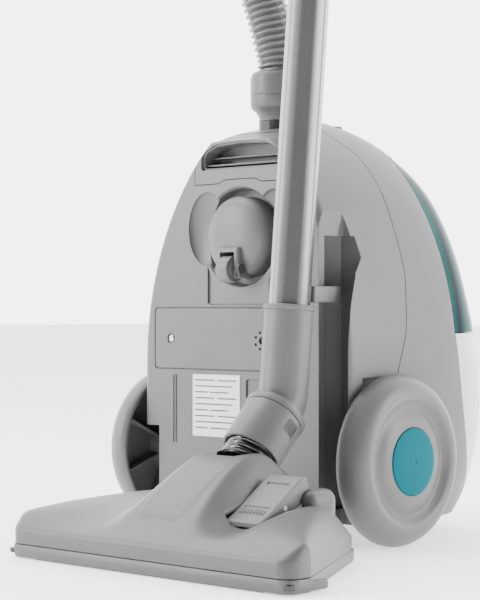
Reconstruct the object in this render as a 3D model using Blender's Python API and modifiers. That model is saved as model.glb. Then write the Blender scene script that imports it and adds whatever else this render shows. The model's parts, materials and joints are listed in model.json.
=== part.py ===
"""Canister vacuum cleaner, parked upright on its rear end beside its wand and floor head.

Frame: metres, +Z up, floor at z = 0.  x = 0 is the machine's centre plane, y = 0 is the
axle of the two big wheels and -Y is the way the underside faces.
"""
import math

import bmesh
import bpy
import numpy as np
from mathutils import Matrix, Vector

MM = 0.001
GAP = 0.3 * MM                    # clearance between touching pieces

# canister casing
HULL_BOTTOM = 17 * MM
HULL_TOP = 364 * MM
HULL_HALF_WIDTH = 119 * MM
HULL_SHOULDER_Z = 150 * MM        # above this height the casing narrows to its rounded top
UNDERSIDE_Y = -50 * MM
EDGE_RADIUS = 9 * MM
FLANK_CENTRE_Y = 20 * MM
BACK_SQUARENESS = 3.6             # exponent of the superellipse round the back
WALL = 2.5 * MM
COVER_SPLIT_Z = 176 * MM          # dust container above, rear cover below
CUP_TOP_Z = 334 * MM
COVER_EDGE_Y = 104.5 * MM

# big wheels
WHEEL_RADIUS = 71.6 * MM
AXLE_Z = WHEEL_RADIUS
AXLE_RADIUS = 5 * MM
POCKET_X = 98 * MM
POCKET_RADIUS = 74.5 * MM
ARCH_TOP_Z = 140.5 * MM
ARCH_FRONT_Y = -31 * MM
STRIP_BOTTOM_Z = 93 * MM           # the casing's front strip beside each wheel ends here

# caster
CASTER_Z = 259 * MM
CASTER_RING = 42 * MM
CASTER_WHEEL_Z = 231 * MM
CASTER_WHEEL_Y = -63 * MM

# wand: the tube leans back along (0, sin, cos) of this angle
WAND_X = 87.4 * MM
WAND_BASE = Vector((WAND_X, -86.4 * MM, 200 * MM))
WAND_LEAN = math.radians(5.5)
WAND_AXIS = Vector((0, math.sin(WAND_LEAN), math.cos(WAND_LEAN)))
ELBOW_RADIUS = 20 * MM

# neck and floor head
BEND = Vector((WAND_X, -96 * MM, 119 * MM))
NECK_DIR = Vector((0, -math.sqrt(0.5), -math.sqrt(0.5)))
NECK_START = Vector((WAND_X, -102.4 * MM, 113.7 * MM))
HEAD_HALF_WIDTH = 148 * MM
HEAD_FRONT_Y = -256.5 * MM
HEAD_REAR_Y = -92 * MM

# hose
HOSE_RADIUS = 20 * MM
INLET = Vector((0, 2 * MM, 359 * MM))

# the finished assembly is moved so that the origin is the centre of its footprint
FOOTPRINT_CENTRE = Vector((43 * MM, -29.25 * MM, 0))

FINE = 32
COARSE = 20


# ------------------------------------------------------------------ scene and helpers
for old in list(bpy.data.objects):
    bpy.data.objects.remove(old, do_unlink=True)

parts = bpy.data.collections.new("canister_vacuum_cleaner")
cutters = bpy.data.collections.new("cutters")
bpy.context.scene.collection.children.link(parts)
bpy.context.scene.collection.children.link(cutters)


def material(name, colour, roughness=0.5, metallic=0.0):
    mat = bpy.data.materials.get(name)
    if mat is None:
        mat = bpy.data.materials.new(name)
        mat.use_nodes = True
        shader = mat.node_tree.nodes["Principled BSDF"]
        shader.inputs["Base Color"].default_value = (*colour, 1)
        shader.inputs["Roughness"].default_value = roughness
        shader.inputs["Metallic"].default_value = metallic
    return mat


GREY = material("grey_plastic", (0.36, 0.36, 0.36), 0.55)
DARK_GREY = material("dark_grey_plastic", (0.27, 0.27, 0.27), 0.5)
BLACK = material("black_plastic", (0.02, 0.02, 0.02), 0.4)
RUBBER = material("black_rubber", (0.03, 0.03, 0.03), 0.8)
TEAL = material("teal_clear", (0.0, 0.25, 0.22), 0.1)
TEAL_CAP = material("teal_plastic", (0.0, 0.32, 0.37), 0.4)
WHITE = material("white_plastic", (0.8, 0.8, 0.8), 0.35)
STEEL = material("steel", (0.6, 0.6, 0.6), 0.3, 1.0)
FOAM = material("filter_foam", (0.1, 0.1, 0.12), 0.95)
PAPER = material("filter_paper", (0.75, 0.75, 0.7), 0.9)
HOSE = material("hose_grey", (0.3, 0.3, 0.3), 0.3)
LABEL = material("label_white", (0.85, 0.85, 0.85), 0.5)


def place(mesh, name, mat, collection=None, smooth=True):
    """Link a mesh as a finished part, or as a cutter when no material is given."""
    obj = bpy.data.objects.new(name, mesh)
    if mat is None:
        cutters.objects.link(obj)
        obj.hide_render = True
        obj.display_type = "WIRE"
        return obj
    (collection or parts).objects.link(obj)
    mesh.materials.clear()
    mesh.materials.append(mat)
    if smooth:
        mesh.shade_smooth()
        mesh.set_sharp_from_angle(angle=math.radians(35))
    return obj


def box(name, low, high, mat=None, bevel=0.0):
    """A block between two corners, in metres, with optional rounded edges."""
    low, high = Vector(low), Vector(high)
    bpy.ops.mesh.primitive_cube_add(size=1)
    made = bpy.context.object
    mesh = made.data
    bpy.data.objects.remove(made)
    size = high - low
    mesh.transform(Matrix.Diagonal((*size, 1)))
    obj = place(mesh, name, mat)
    obj.location = (low + high) / 2
    if bevel:
        mod = obj.modifiers.new("rounding", "BEVEL")
        mod.width = bevel
        mod.segments = 2
        mod.limit_method = "ANGLE"
    return obj


def turned(name, profile, mat=None, at=(0, 0, 0), turn=(0, 0, 0), steps=COARSE):
    """A closed outline of (radius, height) turned about its local Z axis."""
    area = 0.0
    for (r0, h0), (r1, h1) in zip(profile, profile[1:] + profile[:1]):
        area += r0 * h1 - r1 * h0
    if area > 0:
        profile = profile[::-1]
    on_axis = [i for i, (r, _) in enumerate(profile) if r < 1e-9]
    if on_axis:
        start = next(i for i in on_axis if profile[i - 1][0] < 1e-9)
        profile = profile[start:] + profile[:start]
    mesh = bpy.data.meshes.new(name)
    count = len(profile)
    edges = [(i, i + 1) for i in range(count - 1)]
    if not on_axis:
        edges.append((count - 1, 0))
    mesh.from_pydata([(r, 0, h) for r, h in profile], edges, [])
    obj = place(mesh, name, mat, smooth=False)
    obj.location = at
    obj.rotation_euler = turn
    mod = obj.modifiers.new("turn", "SCREW")
    mod.axis = "Z"
    mod.steps = steps
    mod.render_steps = steps
    mod.use_merge_vertices = True
    mod.merge_threshold = 1e-6
    mod.use_smooth_shade = True
    return obj


def rod(name, start, end, radius, mat=None, steps=COARSE, bore=0.0):
    """A round bar, or a tube when it has a bore, between two points."""
    start, end = Vector(start), Vector(end)
    length = (end - start).length
    if bore:
        outline = [(bore, 0), (radius, 0), (radius, length), (bore, length)]
    else:
        outline = [(0, 0), (radius, 0), (radius, length), (0, length)]
    turn = (end - start).to_track_quat("Z", "Y").to_euler()
    return turned(name, outline, mat, start, turn, steps)


def plate(name, outline, thickness, mat=None, at=(0, 0, 0), turn=(0, 0, 0)):
    """A flat outline in its local XY plane, centred on its thickness."""
    curve = bpy.data.curves.new(name, "CURVE")
    curve.dimensions = "2D"
    curve.fill_mode = "BOTH"
    curve.extrude = thickness / 2
    spline = curve.splines.new("POLY")
    spline.points.add(len(outline) - 1)
    for point, (u, v) in zip(spline.points, outline):
        point.co = (u, v, 0, 1)
    spline.use_cyclic_u = True
    holder = bpy.data.objects.new(name + "_outline", curve)
    cutters.objects.link(holder)
    bpy.context.view_layer.update()
    depsgraph = bpy.context.evaluated_depsgraph_get()
    mesh = bpy.data.meshes.new_from_object(holder.evaluated_get(depsgraph))
    bm = bmesh.new()
    bm.from_mesh(mesh)
    bmesh.ops.remove_doubles(bm, verts=bm.verts, dist=1e-6)
    bmesh.ops.recalc_face_normals(bm, faces=bm.faces)
    bm.to_mesh(mesh)
    bm.free()
    bpy.data.objects.remove(holder)
    obj = place(mesh, name, mat)
    obj.location = at
    obj.rotation_euler = turn
    return obj


def side_plate(name, outline, x_low, x_high, mat=None):
    """An outline of (y, z) points extruded along X."""
    turn = (math.radians(90), 0, math.radians(90))
    return plate(name, outline, x_high - x_low, mat, ((x_low + x_high) / 2, 0, 0), turn)


def loft(name, rings, mat=None):
    """A closed skin over rings with the same number of points each."""
    bm = bmesh.new()
    rows = [[bm.verts.new(p) for p in ring] for ring in rings]
    count = len(rings[0])
    for low, high in zip(rows, rows[1:]):
        for i in range(count):
            j = (i + 1) % count
            bm.faces.new((low[i], low[j], high[j], high[i]))
    bm.faces.new(rows[0][::-1])
    bm.faces.new(rows[-1])
    bmesh.ops.recalc_face_normals(bm, faces=bm.faces)
    mesh = bpy.data.meshes.new(name)
    bm.to_mesh(mesh)
    bm.free()
    return place(mesh, name, mat)


def boolean(obj, tools, operation="DIFFERENCE", solver="MANIFOLD"):
    for tool in tools if isinstance(tools, (list, tuple)) else [tools]:
        mod = obj.modifiers.new(operation.lower(), "BOOLEAN")
        mod.operation = operation
        mod.object = tool
        mod.solver = solver
    return obj


def baked(obj, name, mat):
    """A copy of an object's finished shape, free of modifiers."""
    bpy.context.view_layer.update()
    depsgraph = bpy.context.evaluated_depsgraph_get()
    mesh = bpy.data.meshes.new_from_object(obj.evaluated_get(depsgraph))
    mesh.name = name
    new = place(mesh, name, mat)
    new.matrix_world = obj.matrix_world
    return new


def smooth_through(points, per_span=8):
    """A Catmull-Rom curve through the given points, as dense points."""
    pts = [np.array(p, float) for p in points]
    pts = [2 * pts[0] - pts[1], *pts, 2 * pts[-1] - pts[-2]]
    out = []
    for a, b, c, d in zip(pts, pts[1:], pts[2:], pts[3:]):
        for i in range(per_span):
            t = i / per_span
            out.append(0.5 * (2 * b + (c - a) * t + (2 * a - 5 * b + 4 * c - d) * t * t
                              + (3 * b - a - 3 * c + d) * t ** 3))
    out.append(pts[-2])
    return np.array(out)


# ------------------------------------------------------------------ casing form
BACK_PROFILE = smooth_through([
    (17, 150), (33, 165), (70, 188), (108, 197), (140, 193), (176, 187), (210, 180),
    (240, 175.5), (265, 171), (290, 164), (305, 157), (318, 147), (333, 131), (342, 120),
    (350, 106), (358, 86), (364, 60)]) * MM
FRONT_PROFILE = smooth_through([
    (17, -50), (200, -50), (330, -50), (342, -46), (350, -30), (357, 0), (364, 45)]) * MM


def half_width(z):
    if z < HULL_SHOULDER_Z:
        return HULL_HALF_WIDTH - 8 * MM * max(0.0, 1 - z / (50 * MM)) ** 2
    t = (z - HULL_SHOULDER_Z) / (HULL_TOP + 2 * MM - HULL_SHOULDER_Z)
    return HULL_HALF_WIDTH * max(0.0, 1 - t * t) ** 0.7


def casing_ring(z, inset=0.0):
    """The casing's closed outline at one height, drawn in by an inset."""
    wide = half_width(z) - inset
    front = float(np.interp(z, FRONT_PROFILE[:, 0], FRONT_PROFILE[:, 1])) + inset
    back = float(np.interp(z, BACK_PROFILE[:, 0], BACK_PROFILE[:, 1])) - inset
    deep = back - front
    middle = max(front + 0.1 * deep, min(FLANK_CENTRE_Y, front + 0.45 * deep))
    radius = min(EDGE_RADIUS, wide / 2, (middle - front) / 2)
    crown = 2 * MM if z > 343 * MM else 0.0
    half = [(wide * 0.45, front + 0.3 * crown), (wide - radius, front + crown)]
    for i in range(1, 4):
        a = math.radians(30 * i)
        half.append((wide - radius + radius * math.sin(a),
                     front + crown + (radius - crown) * (1 - math.cos(a))))
    for i in range(9):
        a = math.radians(90 * i / 9)
        u = math.cos(a) ** (2 / BACK_SQUARENESS)
        v = math.sin(a) ** (2 / BACK_SQUARENESS)
        half.append((wide * u, middle + (back - middle) * v))
    ring = [(0, front)] + half + [(0, back)] + [(-x, y) for x, y in reversed(half)]
    return [(x, y, z) for x, y in ring]


def casing(name, inset=0.0):
    low = HULL_BOTTOM + inset
    high = HULL_TOP - 3 * inset - 0.3 * MM
    heights = [low + (high - low) * math.sin(math.pi / 2 * i / 14) ** 0.9 for i in range(15)]
    return loft(name, [casing_ring(z, inset) for z in heights])


SEAM = smooth_through([(15, 139), (19, 151), (30, 179), (35, 205), (40, 226), (44, 266),
                       (50, 308), (47, 333), (34, 348), (24, 370)], 3) * MM


def groove_outline(grow):
    """Plan outline of the parking groove on the right of the underside."""
    return [(88 * MM - grow, -70 * MM), (88 * MM - grow, -20 * MM + grow),
            (103 * MM + grow, -20 * MM + grow), (109 * MM + grow, -28 * MM + grow),
            (116 * MM + grow, -44 * MM), (121 * MM + grow, -70 * MM)]


def wheel_pocket(grow):
    """Side outline of a wheel pocket: an arch with a flat top, open to the front near the floor."""
    radius = POCKET_RADIUS + grow
    flat = ARCH_TOP_Z + grow - AXLE_Z
    start = math.asin(flat / radius)
    arc = [start - (start + math.radians(100)) * i / 20 for i in range(21)]
    return ([(-90 * MM, -20 * MM), (-90 * MM, STRIP_BOTTOM_Z + grow),
             (ARCH_FRONT_Y - grow, STRIP_BOTTOM_Z + grow), (ARCH_FRONT_Y - grow, flat + AXLE_Z)]
            + [(radius * math.cos(a), AXLE_Z + radius * math.sin(a)) for a in arc])


def casing_tools(grow):
    """The recesses of the casing; grown tools leave a wall behind each recess."""
    tag = "inner" if grow else "outer"
    tools = []
    for side, sign in (("left", -1), ("right", 1)):
        low, high = sorted((sign * (POCKET_X - grow), sign * 160 * MM))
        tools.append(side_plate(f"pocket_{side}_{tag}", wheel_pocket(grow), low, high))
    tools.append(plate(f"groove_{tag}", groove_outline(grow), 305 * MM, None,
                       (0, 0, 167.5 * MM)))
    tools.append(rod(f"caster_recess_{tag}", (0, -70 * MM, CASTER_Z),
                     (0, -36 * MM + grow, CASTER_Z), CASTER_RING + grow, steps=FINE))
    return tools


outer = casing("casing_outer")
boolean(outer, casing_tools(0))
inner = casing("casing_inner", WALL)
boolean(inner, casing_tools(WALL))

shell = baked(outer, "shell_blank", GREY)
boolean(shell, baked(inner, "casing_core", None))

front_side = side_plate("front_region", [(-90 * MM, 0), (15 * MM, 0)] + [tuple(p) for p in SEAM]
                        + [(-90 * MM, 370 * MM)], -170 * MM, 170 * MM)
back_side = side_plate("back_region", [(260 * MM, 0), (15 * MM + GAP, 0)]
                       + [(y + GAP, z) for y, z in SEAM] + [(260 * MM, 370 * MM)],
                       -170 * MM, 170 * MM)


def cup_region(name, shrink):
    """The part of the back that the dust container fills."""
    edge, low, high = COVER_EDGE_Y + shrink, COVER_SPLIT_Z + shrink, CUP_TOP_Z - shrink
    outline = [(edge, low), (260 * MM, low), (260 * MM, high), (edge, high)]
    return side_plate(name, outline, -130 * MM, 130 * MM)


def rear_region(name, high, shrink):
    """The part of the back below it, with an edge that slopes back towards the floor."""
    low = 30 * MM + shrink
    outline = [(134 * MM + shrink, low), (260 * MM, low), (260 * MM, high),
               (COVER_EDGE_Y + shrink, high), (114.5 * MM + shrink, 117 * MM)]
    return side_plate(name, outline, -130 * MM, 130 * MM)


cup_hole = cup_region("cup_hole", 0)
rear_hole = rear_region("rear_hole", COVER_SPLIT_Z + GAP, 0)
front_hole = box("front_cover_hole", (-53.3 * MM, -70 * MM, 305.7 * MM),
                 (53.3 * MM, -22 * MM, 349 * MM))

# ------------------------------------------------------------------ casing pieces
base_shell = baked(shell, "base_shell", GREY)
boolean(base_shell, front_side, "INTERSECT")
boolean(base_shell, [front_hole,
                     box("service_seat", (-103.3 * MM, -60 * MM, 144.2 * MM),
                         (72.3 * MM, -48.7 * MM, 198.3 * MM)),
                     rod("inlet_hole", (INLET.x, INLET.y, 300 * MM), (INLET.x, INLET.y, 380 * MM),
                         18.9 * MM, steps=FINE),
                     rod("caster_hole", (0, -60 * MM, CASTER_Z), (0, -20 * MM, CASTER_Z), 6.4 * MM),
                     rod("axle_holes", (-110 * MM, 0, AXLE_Z), (110 * MM, 0, AXLE_Z),
                         AXLE_RADIUS + GAP)])

upper_shell = baked(shell, "upper_shell", GREY)
boolean(upper_shell, back_side, "INTERSECT")
boolean(upper_shell, [cup_hole, rear_hole])

dust_container = baked(shell, "dust_container", TEAL)
boolean(dust_container, cup_region("cup_region", GAP), "INTERSECT")

GRILLE_HOLE = ((-40 * MM, 150 * MM, 45 * MM), (40 * MM, 260 * MM, 75 * MM))
BUTTON_Z = 112 * MM
BUTTON_X = 36 * MM
BUTTON_RADIUS = 11 * MM
OUTLET = Vector((-62 * MM, 160 * MM, 58 * MM))
rear_cover = baked(shell, "rear_cover", WHITE)
boolean(rear_cover, rear_region("rear_region", COVER_SPLIT_Z - GAP, GAP), "INTERSECT")
boolean(rear_cover, [box("grille_hole", *GRILLE_HOLE)]
        + [rod(f"button_hole_{x}", (x * BUTTON_X, 150 * MM, BUTTON_Z),
               (x * BUTTON_X, 260 * MM, BUTTON_Z), BUTTON_RADIUS + 0.4 * MM) for x in (-1, 1)]
        + [rod("outlet_hole", OUTLET, OUTLET + Vector((0, 60 * MM, 0)), 7.3 * MM)])

exhaust_grille = baked(shell, "exhaust_grille", BLACK)
grille_low, grille_high = (Vector(corner) for corner in GRILLE_HOLE)
boolean(exhaust_grille, box("grille_region", grille_low + Vector((GAP, 0, GAP)),
                            grille_high - Vector((GAP, 0, GAP))), "INTERSECT")
boolean(exhaust_grille, [box(f"grille_slot_{i}", (-35 * MM, 150 * MM, (48.5 + 5 * i) * MM),
                             (35 * MM, 260 * MM, (51.5 + 5 * i) * MM)) for i in range(5)])
bpy.data.objects.remove(shell)

front_cover = baked(outer, "front_cover", GREY)
boolean(front_cover, box("front_cover_region", (-53 * MM, -70 * MM, 306 * MM),
                         (53 * MM, -22.3 * MM, 348.7 * MM)), "INTERSECT")
boolean(front_cover, [box("grip_pocket", (-46 * MM, -70 * MM, 318 * MM),
                          (46 * MM, -25 * MM, 337 * MM))])

service_panel = box("service_panel", (-103 * MM, -50.2 * MM, 144.5 * MM),
                    (72 * MM, -49.0 * MM, 198 * MM), GREY, 0.4 * MM)
rating_label = box("rating_label", (-56 * MM, -50.6 * MM, 86 * MM), (0, -50.3 * MM, 140 * MM), LABEL)
service_screw = turned("service_screw", [(0, 0), (3 * MM, 0), (3 * MM, 1.2 * MM), (0, 1.2 * MM)],
                       STEEL, (-83 * MM, -50.5 * MM, 171 * MM), (math.radians(90), 0, 0))

for side, sign in (("left", -1), ("right", 1)):
    rod(f"axle_{side}", (sign * 92 * MM, 0, AXLE_Z), (sign * 142 * MM, 0, AXLE_Z), AXLE_RADIUS,
        STEEL)
    turned(f"rear_foot_{side}", [(0, 0), (11 * MM, 0), (12 * MM, 1 * MM), (10 * MM, 16.7 * MM),
                                 (0, 16.7 * MM)], RUBBER, (sign * 60 * MM, 108 * MM, 0))

boolean(upper_shell, rod("release_hole", (0, 76 * MM, 330 * MM), (0, 76 * MM, 380 * MM), 8.4 * MM))
release_button = turned("release_button", [(0, 0), (8 * MM, 0), (8 * MM, 15 * MM),
                                           (7 * MM, 16 * MM), (0, 16 * MM)],
                        DARK_GREY, (0, 76 * MM, 347 * MM))
hose_inlet = turned("hose_inlet", [(15.2 * MM, 330 * MM), (18.5 * MM, 330 * MM),
                                   (18.5 * MM, 361.5 * MM), (15.2 * MM, 361.5 * MM)],
                    BLACK, (INLET.x, INLET.y, 0), steps=FINE)

# ------------------------------------------------------------------ inside the casing
MOTOR = Vector((15 * MM, 80 * MM, 0))
motor = turned("motor", [(r * MM, h * MM) for r, h in (
    (0, 34), (12, 34), (12, 42), (40, 42), (42, 46), (42, 112), (38, 118), (0, 118))],
    STEEL, MOTOR)
fan_housing = turned("fan_housing", [(r * MM, h * MM) for r, h in (
    (20, 118.5), (50, 118.5), (52, 122), (52, 143), (49, 146), (20, 146))], BLACK, MOTOR)
motor_seal = turned("motor_seal", [(r * MM, h * MM) for r, h in (
    (28, 146.3), (38, 146.3), (38, 151), (28, 151))], RUBBER, MOTOR)
motor_filter = box("motor_filter", (-38 * MM, 30 * MM, 151.3 * MM), (68 * MM, 128 * MM, 161 * MM),
                   FOAM, 2 * MM)
exhaust_filter = box("exhaust_filter", (-38 * MM, 143 * MM, 44 * MM), (38 * MM, 162 * MM, 76 * MM),
                     PAPER)

REEL = Vector((-60 * MM, 26 * MM, 74 * MM))
SIDEWAYS = (0, math.radians(-90), 0)
cord_reel = turned("cord_reel", [(r * MM, h * MM) for r, h in (
    (6.4, 0), (44, 0), (45, 1), (45, 3), (20, 3.5), (20, 25), (45, 25.5), (45, 28), (6.4, 28))],
    DARK_GREY, REEL, SIDEWAYS)
reel_spindle = turned("reel_spindle", [(r * MM, h * MM) for r, h in (
    (0, -3), (6, -3), (6, 35), (0, 35))], STEEL, REEL, SIDEWAYS)
OUT_OF_BACK = (math.radians(-90), 0, 0)
cord_outlet = turned("cord_outlet", [(r * MM, h * MM) for r, h in (
    (4, 0), (7, 0), (7, 16), (6, 17), (4, 17))], BLACK, OUTLET, OUT_OF_BACK)
for name, sign in (("power_button", 1), ("rewind_button", -1)):
    turned(name, [(0, 0), (BUTTON_RADIUS, 0), (BUTTON_RADIUS, 15 * MM), (9.5 * MM, 16.5 * MM),
                  (0, 17 * MM)], DARK_GREY, (sign * BUTTON_X, 181 * MM, BUTTON_Z), OUT_OF_BACK)

dust_bin = box("dust_bin", (-58 * MM, 70 * MM, 186 * MM), (58 * MM, 128 * MM, 282 * MM), TEAL,
               4 * MM)
boolean(dust_bin, box("bin_inside", (-56 * MM, 72 * MM, 188 * MM), (56 * MM, 140 * MM, 280 * MM)))
cyclone_filter = turned("cyclone_filter", [(r * MM, h * MM) for r, h in (
    (0, 0), (26, 0), (22, 45), (0, 45))], WHITE, (0, 72.3 * MM, 240 * MM), OUT_OF_BACK)

# ------------------------------------------------------------------ big wheels
TYRE_PROFILE = [(5.4, 146), (28.3, 146), (28.3, 148.6), (36, 146.4), (44.3, 142.6),
                (48, 144.2), (52.7, 148), (58, 148.2), (64, 145.2), (68.5, 140), (71, 134.5),
                (71.6, 130), (71.2, 126), (69.5, 122), (66, 122), (63, 128), (58, 137),
                (24, 139), (22, 137), (22, 110), (20, 109), (5.4, 109)]
CAP_PROFILE = [(0, 146.3), (28, 146.3), (28, 148.2), (24, 149), (0, 149.4)]
for side, sign in (("left", -1), ("right", 1)):
    turn = (0, math.radians(90 * sign), 0)
    turned(f"wheel_{side}", [(r * MM, h * MM) for r, h in TYRE_PROFILE], GREY, (0, 0, AXLE_Z),
           turn, 28)
    turned(f"hub_cap_{side}", [(r * MM, h * MM) for r, h in CAP_PROFILE], TEAL_CAP,
           (0, 0, AXLE_Z), turn, 28)

# ------------------------------------------------------------------ caster
OUT_OF_UNDERSIDE = (math.radians(90), 0, 0)
caster_turntable = turned("caster_turntable", [(r * MM, h * MM) for r, h in (
    (0, -28), (6, -28), (6, -13), (35, -13), (35, -1), (33, 3), (27, 8), (15, 12), (0, 13))],
    GREY, (0, UNDERSIDE_Y, CASTER_Z), OUT_OF_UNDERSIDE, 32)
boolean(caster_turntable, box("caster_fork", (-13 * MM, -67 * MM, 224 * MM),
                              (13 * MM, -46 * MM, 244 * MM)), "UNION")
boolean(caster_turntable, [box("caster_slot", (-8 * MM, -80 * MM, 210 * MM),
                               (8 * MM, -45 * MM, 245 * MM)),
                           rod("caster_bore", (-20 * MM, CASTER_WHEEL_Y, CASTER_WHEEL_Z),
                               (20 * MM, CASTER_WHEEL_Y, CASTER_WHEEL_Z), 1.8 * MM, steps=12)])
caster_pin = rod("caster_pin", (-12.8 * MM, CASTER_WHEEL_Y, CASTER_WHEEL_Z),
                 (12.8 * MM, CASTER_WHEEL_Y, CASTER_WHEEL_Z), 1.5 * MM, STEEL, 12)
caster_wheel = turned("caster_wheel", [(r * MM, h * MM) for r, h in (
    (1.85, -7.4), (10.5, -7.4), (11.5, -6), (11.5, 6), (10.5, 7.4), (1.85, 7.4))],
    DARK_GREY, (0, CASTER_WHEEL_Y, CASTER_WHEEL_Z), (0, math.radians(90), 0), 24)

# ------------------------------------------------------------------ hose and its cuffs
hose_cuff = turned("hose_cuff", [(r * MM, h * MM) for r, h in (
    (15.2, 361.8), (18.3, 361.8), (18.3, 365), (20.5, 369), (25, 373.5), (26, 378), (26, 398),
    (25, 403), (22.5, 405), (15.2, 405))], GREY, (INLET.x, INLET.y, 0), steps=FINE)


def wand_point(s):
    """A point on the wand's axis, s metres above the elbow."""
    return WAND_BASE + WAND_AXIS * s


# level directions out to the left of the hose's arch and forward of it
LEFT = Vector((-0.7373, -0.6756, 0))
NEARER = Vector((0.6756, -0.7373, 0))
MOUTH_DIR = (Vector((0, 0, 0.968)) - LEFT * 0.25).normalized()
GRIP_START = wand_point(0.456)
GRIP_BEND = wand_point(0.55)
GRIP_END = GRIP_BEND + Vector((0, 0, 0.06)) - LEFT * 0.006
MOUTH = GRIP_END + MOUTH_DIR * 0.045


def swept_tube(name, points, radius, mat=None, resolution=4, samples=8):
    """A round bar along a smooth curve through the points, as a mesh."""
    curve = bpy.data.curves.new(name, "CURVE")
    curve.dimensions = "3D"
    curve.bevel_depth = radius
    curve.bevel_resolution = resolution
    curve.use_fill_caps = True
    route = smooth_through([tuple(p) for p in points], samples)
    spline = curve.splines.new("POLY")
    spline.points.add(len(route) - 1)
    for point, co in zip(spline.points, route):
        point.co = (*co, 1)
    holder = bpy.data.objects.new(name + "_line", curve)
    cutters.objects.link(holder)
    bpy.context.view_layer.update()
    depsgraph = bpy.context.evaluated_depsgraph_get()
    mesh = bpy.data.meshes.new_from_object(holder.evaluated_get(depsgraph))
    bm = bmesh.new()
    bm.from_mesh(mesh)
    bmesh.ops.remove_doubles(bm, verts=bm.verts, dist=1e-6)
    bmesh.ops.recalc_face_normals(bm, faces=bm.faces)
    bm.to_mesh(mesh)
    bm.free()
    bpy.data.objects.remove(holder)
    return place(mesh, name, mat)


# route as (metres along LEFT from the inlet, metres along NEARER, height)
ARCH = [(0, 0, 0.4056), (0.0004, 0, 0.412), (0.0030, 0.0005, 0.427), (0.0145, 0.002, 0.469),
        (0.040, 0.006, 0.545), (0.085, 0.014, 0.66),
        (0.150, 0.024, 0.79), (0.208, 0.034, 0.91), (0.238, 0.043, 1.03), (0.222, 0.052, 1.14),
        (0.158, 0.061, 1.225), (0.073, 0.069, 1.25), (-0.010, 0.076, 1.22),
        (-0.066, 0.080, 1.145), (-0.087, 0.082, 1.05), (-0.083, 0.0825, 0.97)]


def hose_point(left, near, height):
    return Vector((INLET.x, INLET.y, height)) + LEFT * left + NEARER * near


HOSE_END = MOUTH + MOUTH_DIR * 0.0363
HOSE_ROUTE = [hose_point(*p) for p in ARCH] + [HOSE_END + MOUTH_DIR * 0.05, HOSE_END]
hose = swept_tube("hose", HOSE_ROUTE, HOSE_RADIUS, HOSE, 3, 2)

MOUTH_TURN = MOUTH_DIR.to_track_quat("Z", "Y").to_euler()
handle_cuff = turned("handle_cuff", [(r * MM, h * MM) for r, h in (
    (15, 1.2), (23, 1.2), (24, 5), (24, 30), (22, 36), (15, 36))], GREY, MOUTH, MOUTH_TURN, 28)
handle_grip = swept_tube("handle_grip", [GRIP_START, wand_point(0.50), GRIP_BEND, GRIP_END, MOUTH],
                         19 * MM, GREY, 4, 3)
boolean(handle_grip, swept_tube("grip_bore", [wand_point(0.44), wand_point(0.50), GRIP_BEND,
                                              GRIP_END, MOUTH + MOUTH_DIR * 0.02],
                                15.3 * MM, None, 4, 3))
SLIDER_AT = wand_point(0.51) + Vector((0, -21.2 * MM, 0))
suction_slider = box("suction_slider", SLIDER_AT - Vector((7, 1.8, 9)) * MM,
                     SLIDER_AT + Vector((7, 1.8, 9)) * MM, DARK_GREY, 1 * MM)
suction_slider.rotation_euler = (-WAND_LEAN, 0, 0)

# ------------------------------------------------------------------ wand
WAND_TURN = (-WAND_LEAN, 0, 0)
upper_tube = turned("upper_tube", [(r * MM, h * MM) for r, h in (
    (12.4, 60), (14.0, 60), (14.0, 500), (12.4, 500))], STEEL, WAND_BASE, WAND_TURN, 24)
telescope_collar = turned("telescope_collar", [(r * MM, h * MM) for r, h in (
    (14.6, 400.6), (20, 400.6), (21.5, 404), (21.5, 440), (19.5, 446), (14.6, 446))],
    DARK_GREY, WAND_BASE, WAND_TURN, 24)
lower_tube = turned("lower_tube", [(r * MM, h * MM) for r, h in (
    (15.5, 0.3), (17.2, 0.3), (17.2, 400), (15.5, 400))], GREY, WAND_BASE, WAND_TURN, 10)
BUTTON_AT = wand_point(0.421) + Vector((0, -24.6 * MM, 0))
telescope_button = box("telescope_button", BUTTON_AT - Vector((6, 2.6, 10)) * MM,
                       BUTTON_AT + Vector((6, 2.6, 10)) * MM, BLACK, 1 * MM)
telescope_button.rotation_euler = WAND_TURN
parking_hook = box("parking_hook", (93 * MM, -68.5 * MM, 202.5 * MM),
                   (99 * MM, -34 * MM, 216 * MM), GREY, 1 * MM)

ELBOW_ROUTE = [wand_point(-0.0005), wand_point(-0.028), wand_point(-0.055),
               BEND + Vector((0, 1.5, 6)) * MM, NECK_START - NECK_DIR * 3 * MM, NECK_START]
elbow = swept_tube("elbow", ELBOW_ROUTE, ELBOW_RADIUS, GREY, 5, 3)
boolean(elbow, turned("elbow_lip", [(r * MM, h * MM) for r, h in (
    (0, -4), (21.2, -4), (21.2, 0), (0, 0))], None, WAND_BASE, WAND_TURN, 24), "UNION")
boolean(elbow, rod("elbow_flange", NECK_START - NECK_DIR * 1 * MM, NECK_START + NECK_DIR * 5 * MM,
                   26 * MM, steps=28), "UNION")
boolean(elbow, swept_tube("elbow_bore", [wand_point(0.02)] + ELBOW_ROUTE[1:4]
                          + [NECK_START, NECK_START + NECK_DIR * 0.02], 15.5 * MM, None, 4, 3))

# ------------------------------------------------------------------ neck and bellows
NECK_TURN = NECK_DIR.to_track_quat("Z", "Y").to_euler()
neck_sleeve = turned("neck_sleeve", [(r * MM, h * MM) for r, h in (
    (16, 5.3), (25.5, 5.3), (25, 10), (25, 44), (21.4, 44), (21.4, 28), (16, 26))],
    GREY, NECK_START, NECK_TURN, 28)
bellows = turned("bellows", [(r * MM, h * MM) for r, h in (
    (14, 29), (19, 29), (20.6, 32), (18.6, 35), (20.6, 38), (18.6, 41), (20.6, 44), (18.6, 47),
    (20.6, 50), (18.6, 53), (19.6, 58), (14, 58))], RUBBER, NECK_START, NECK_TURN, 24)

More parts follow.
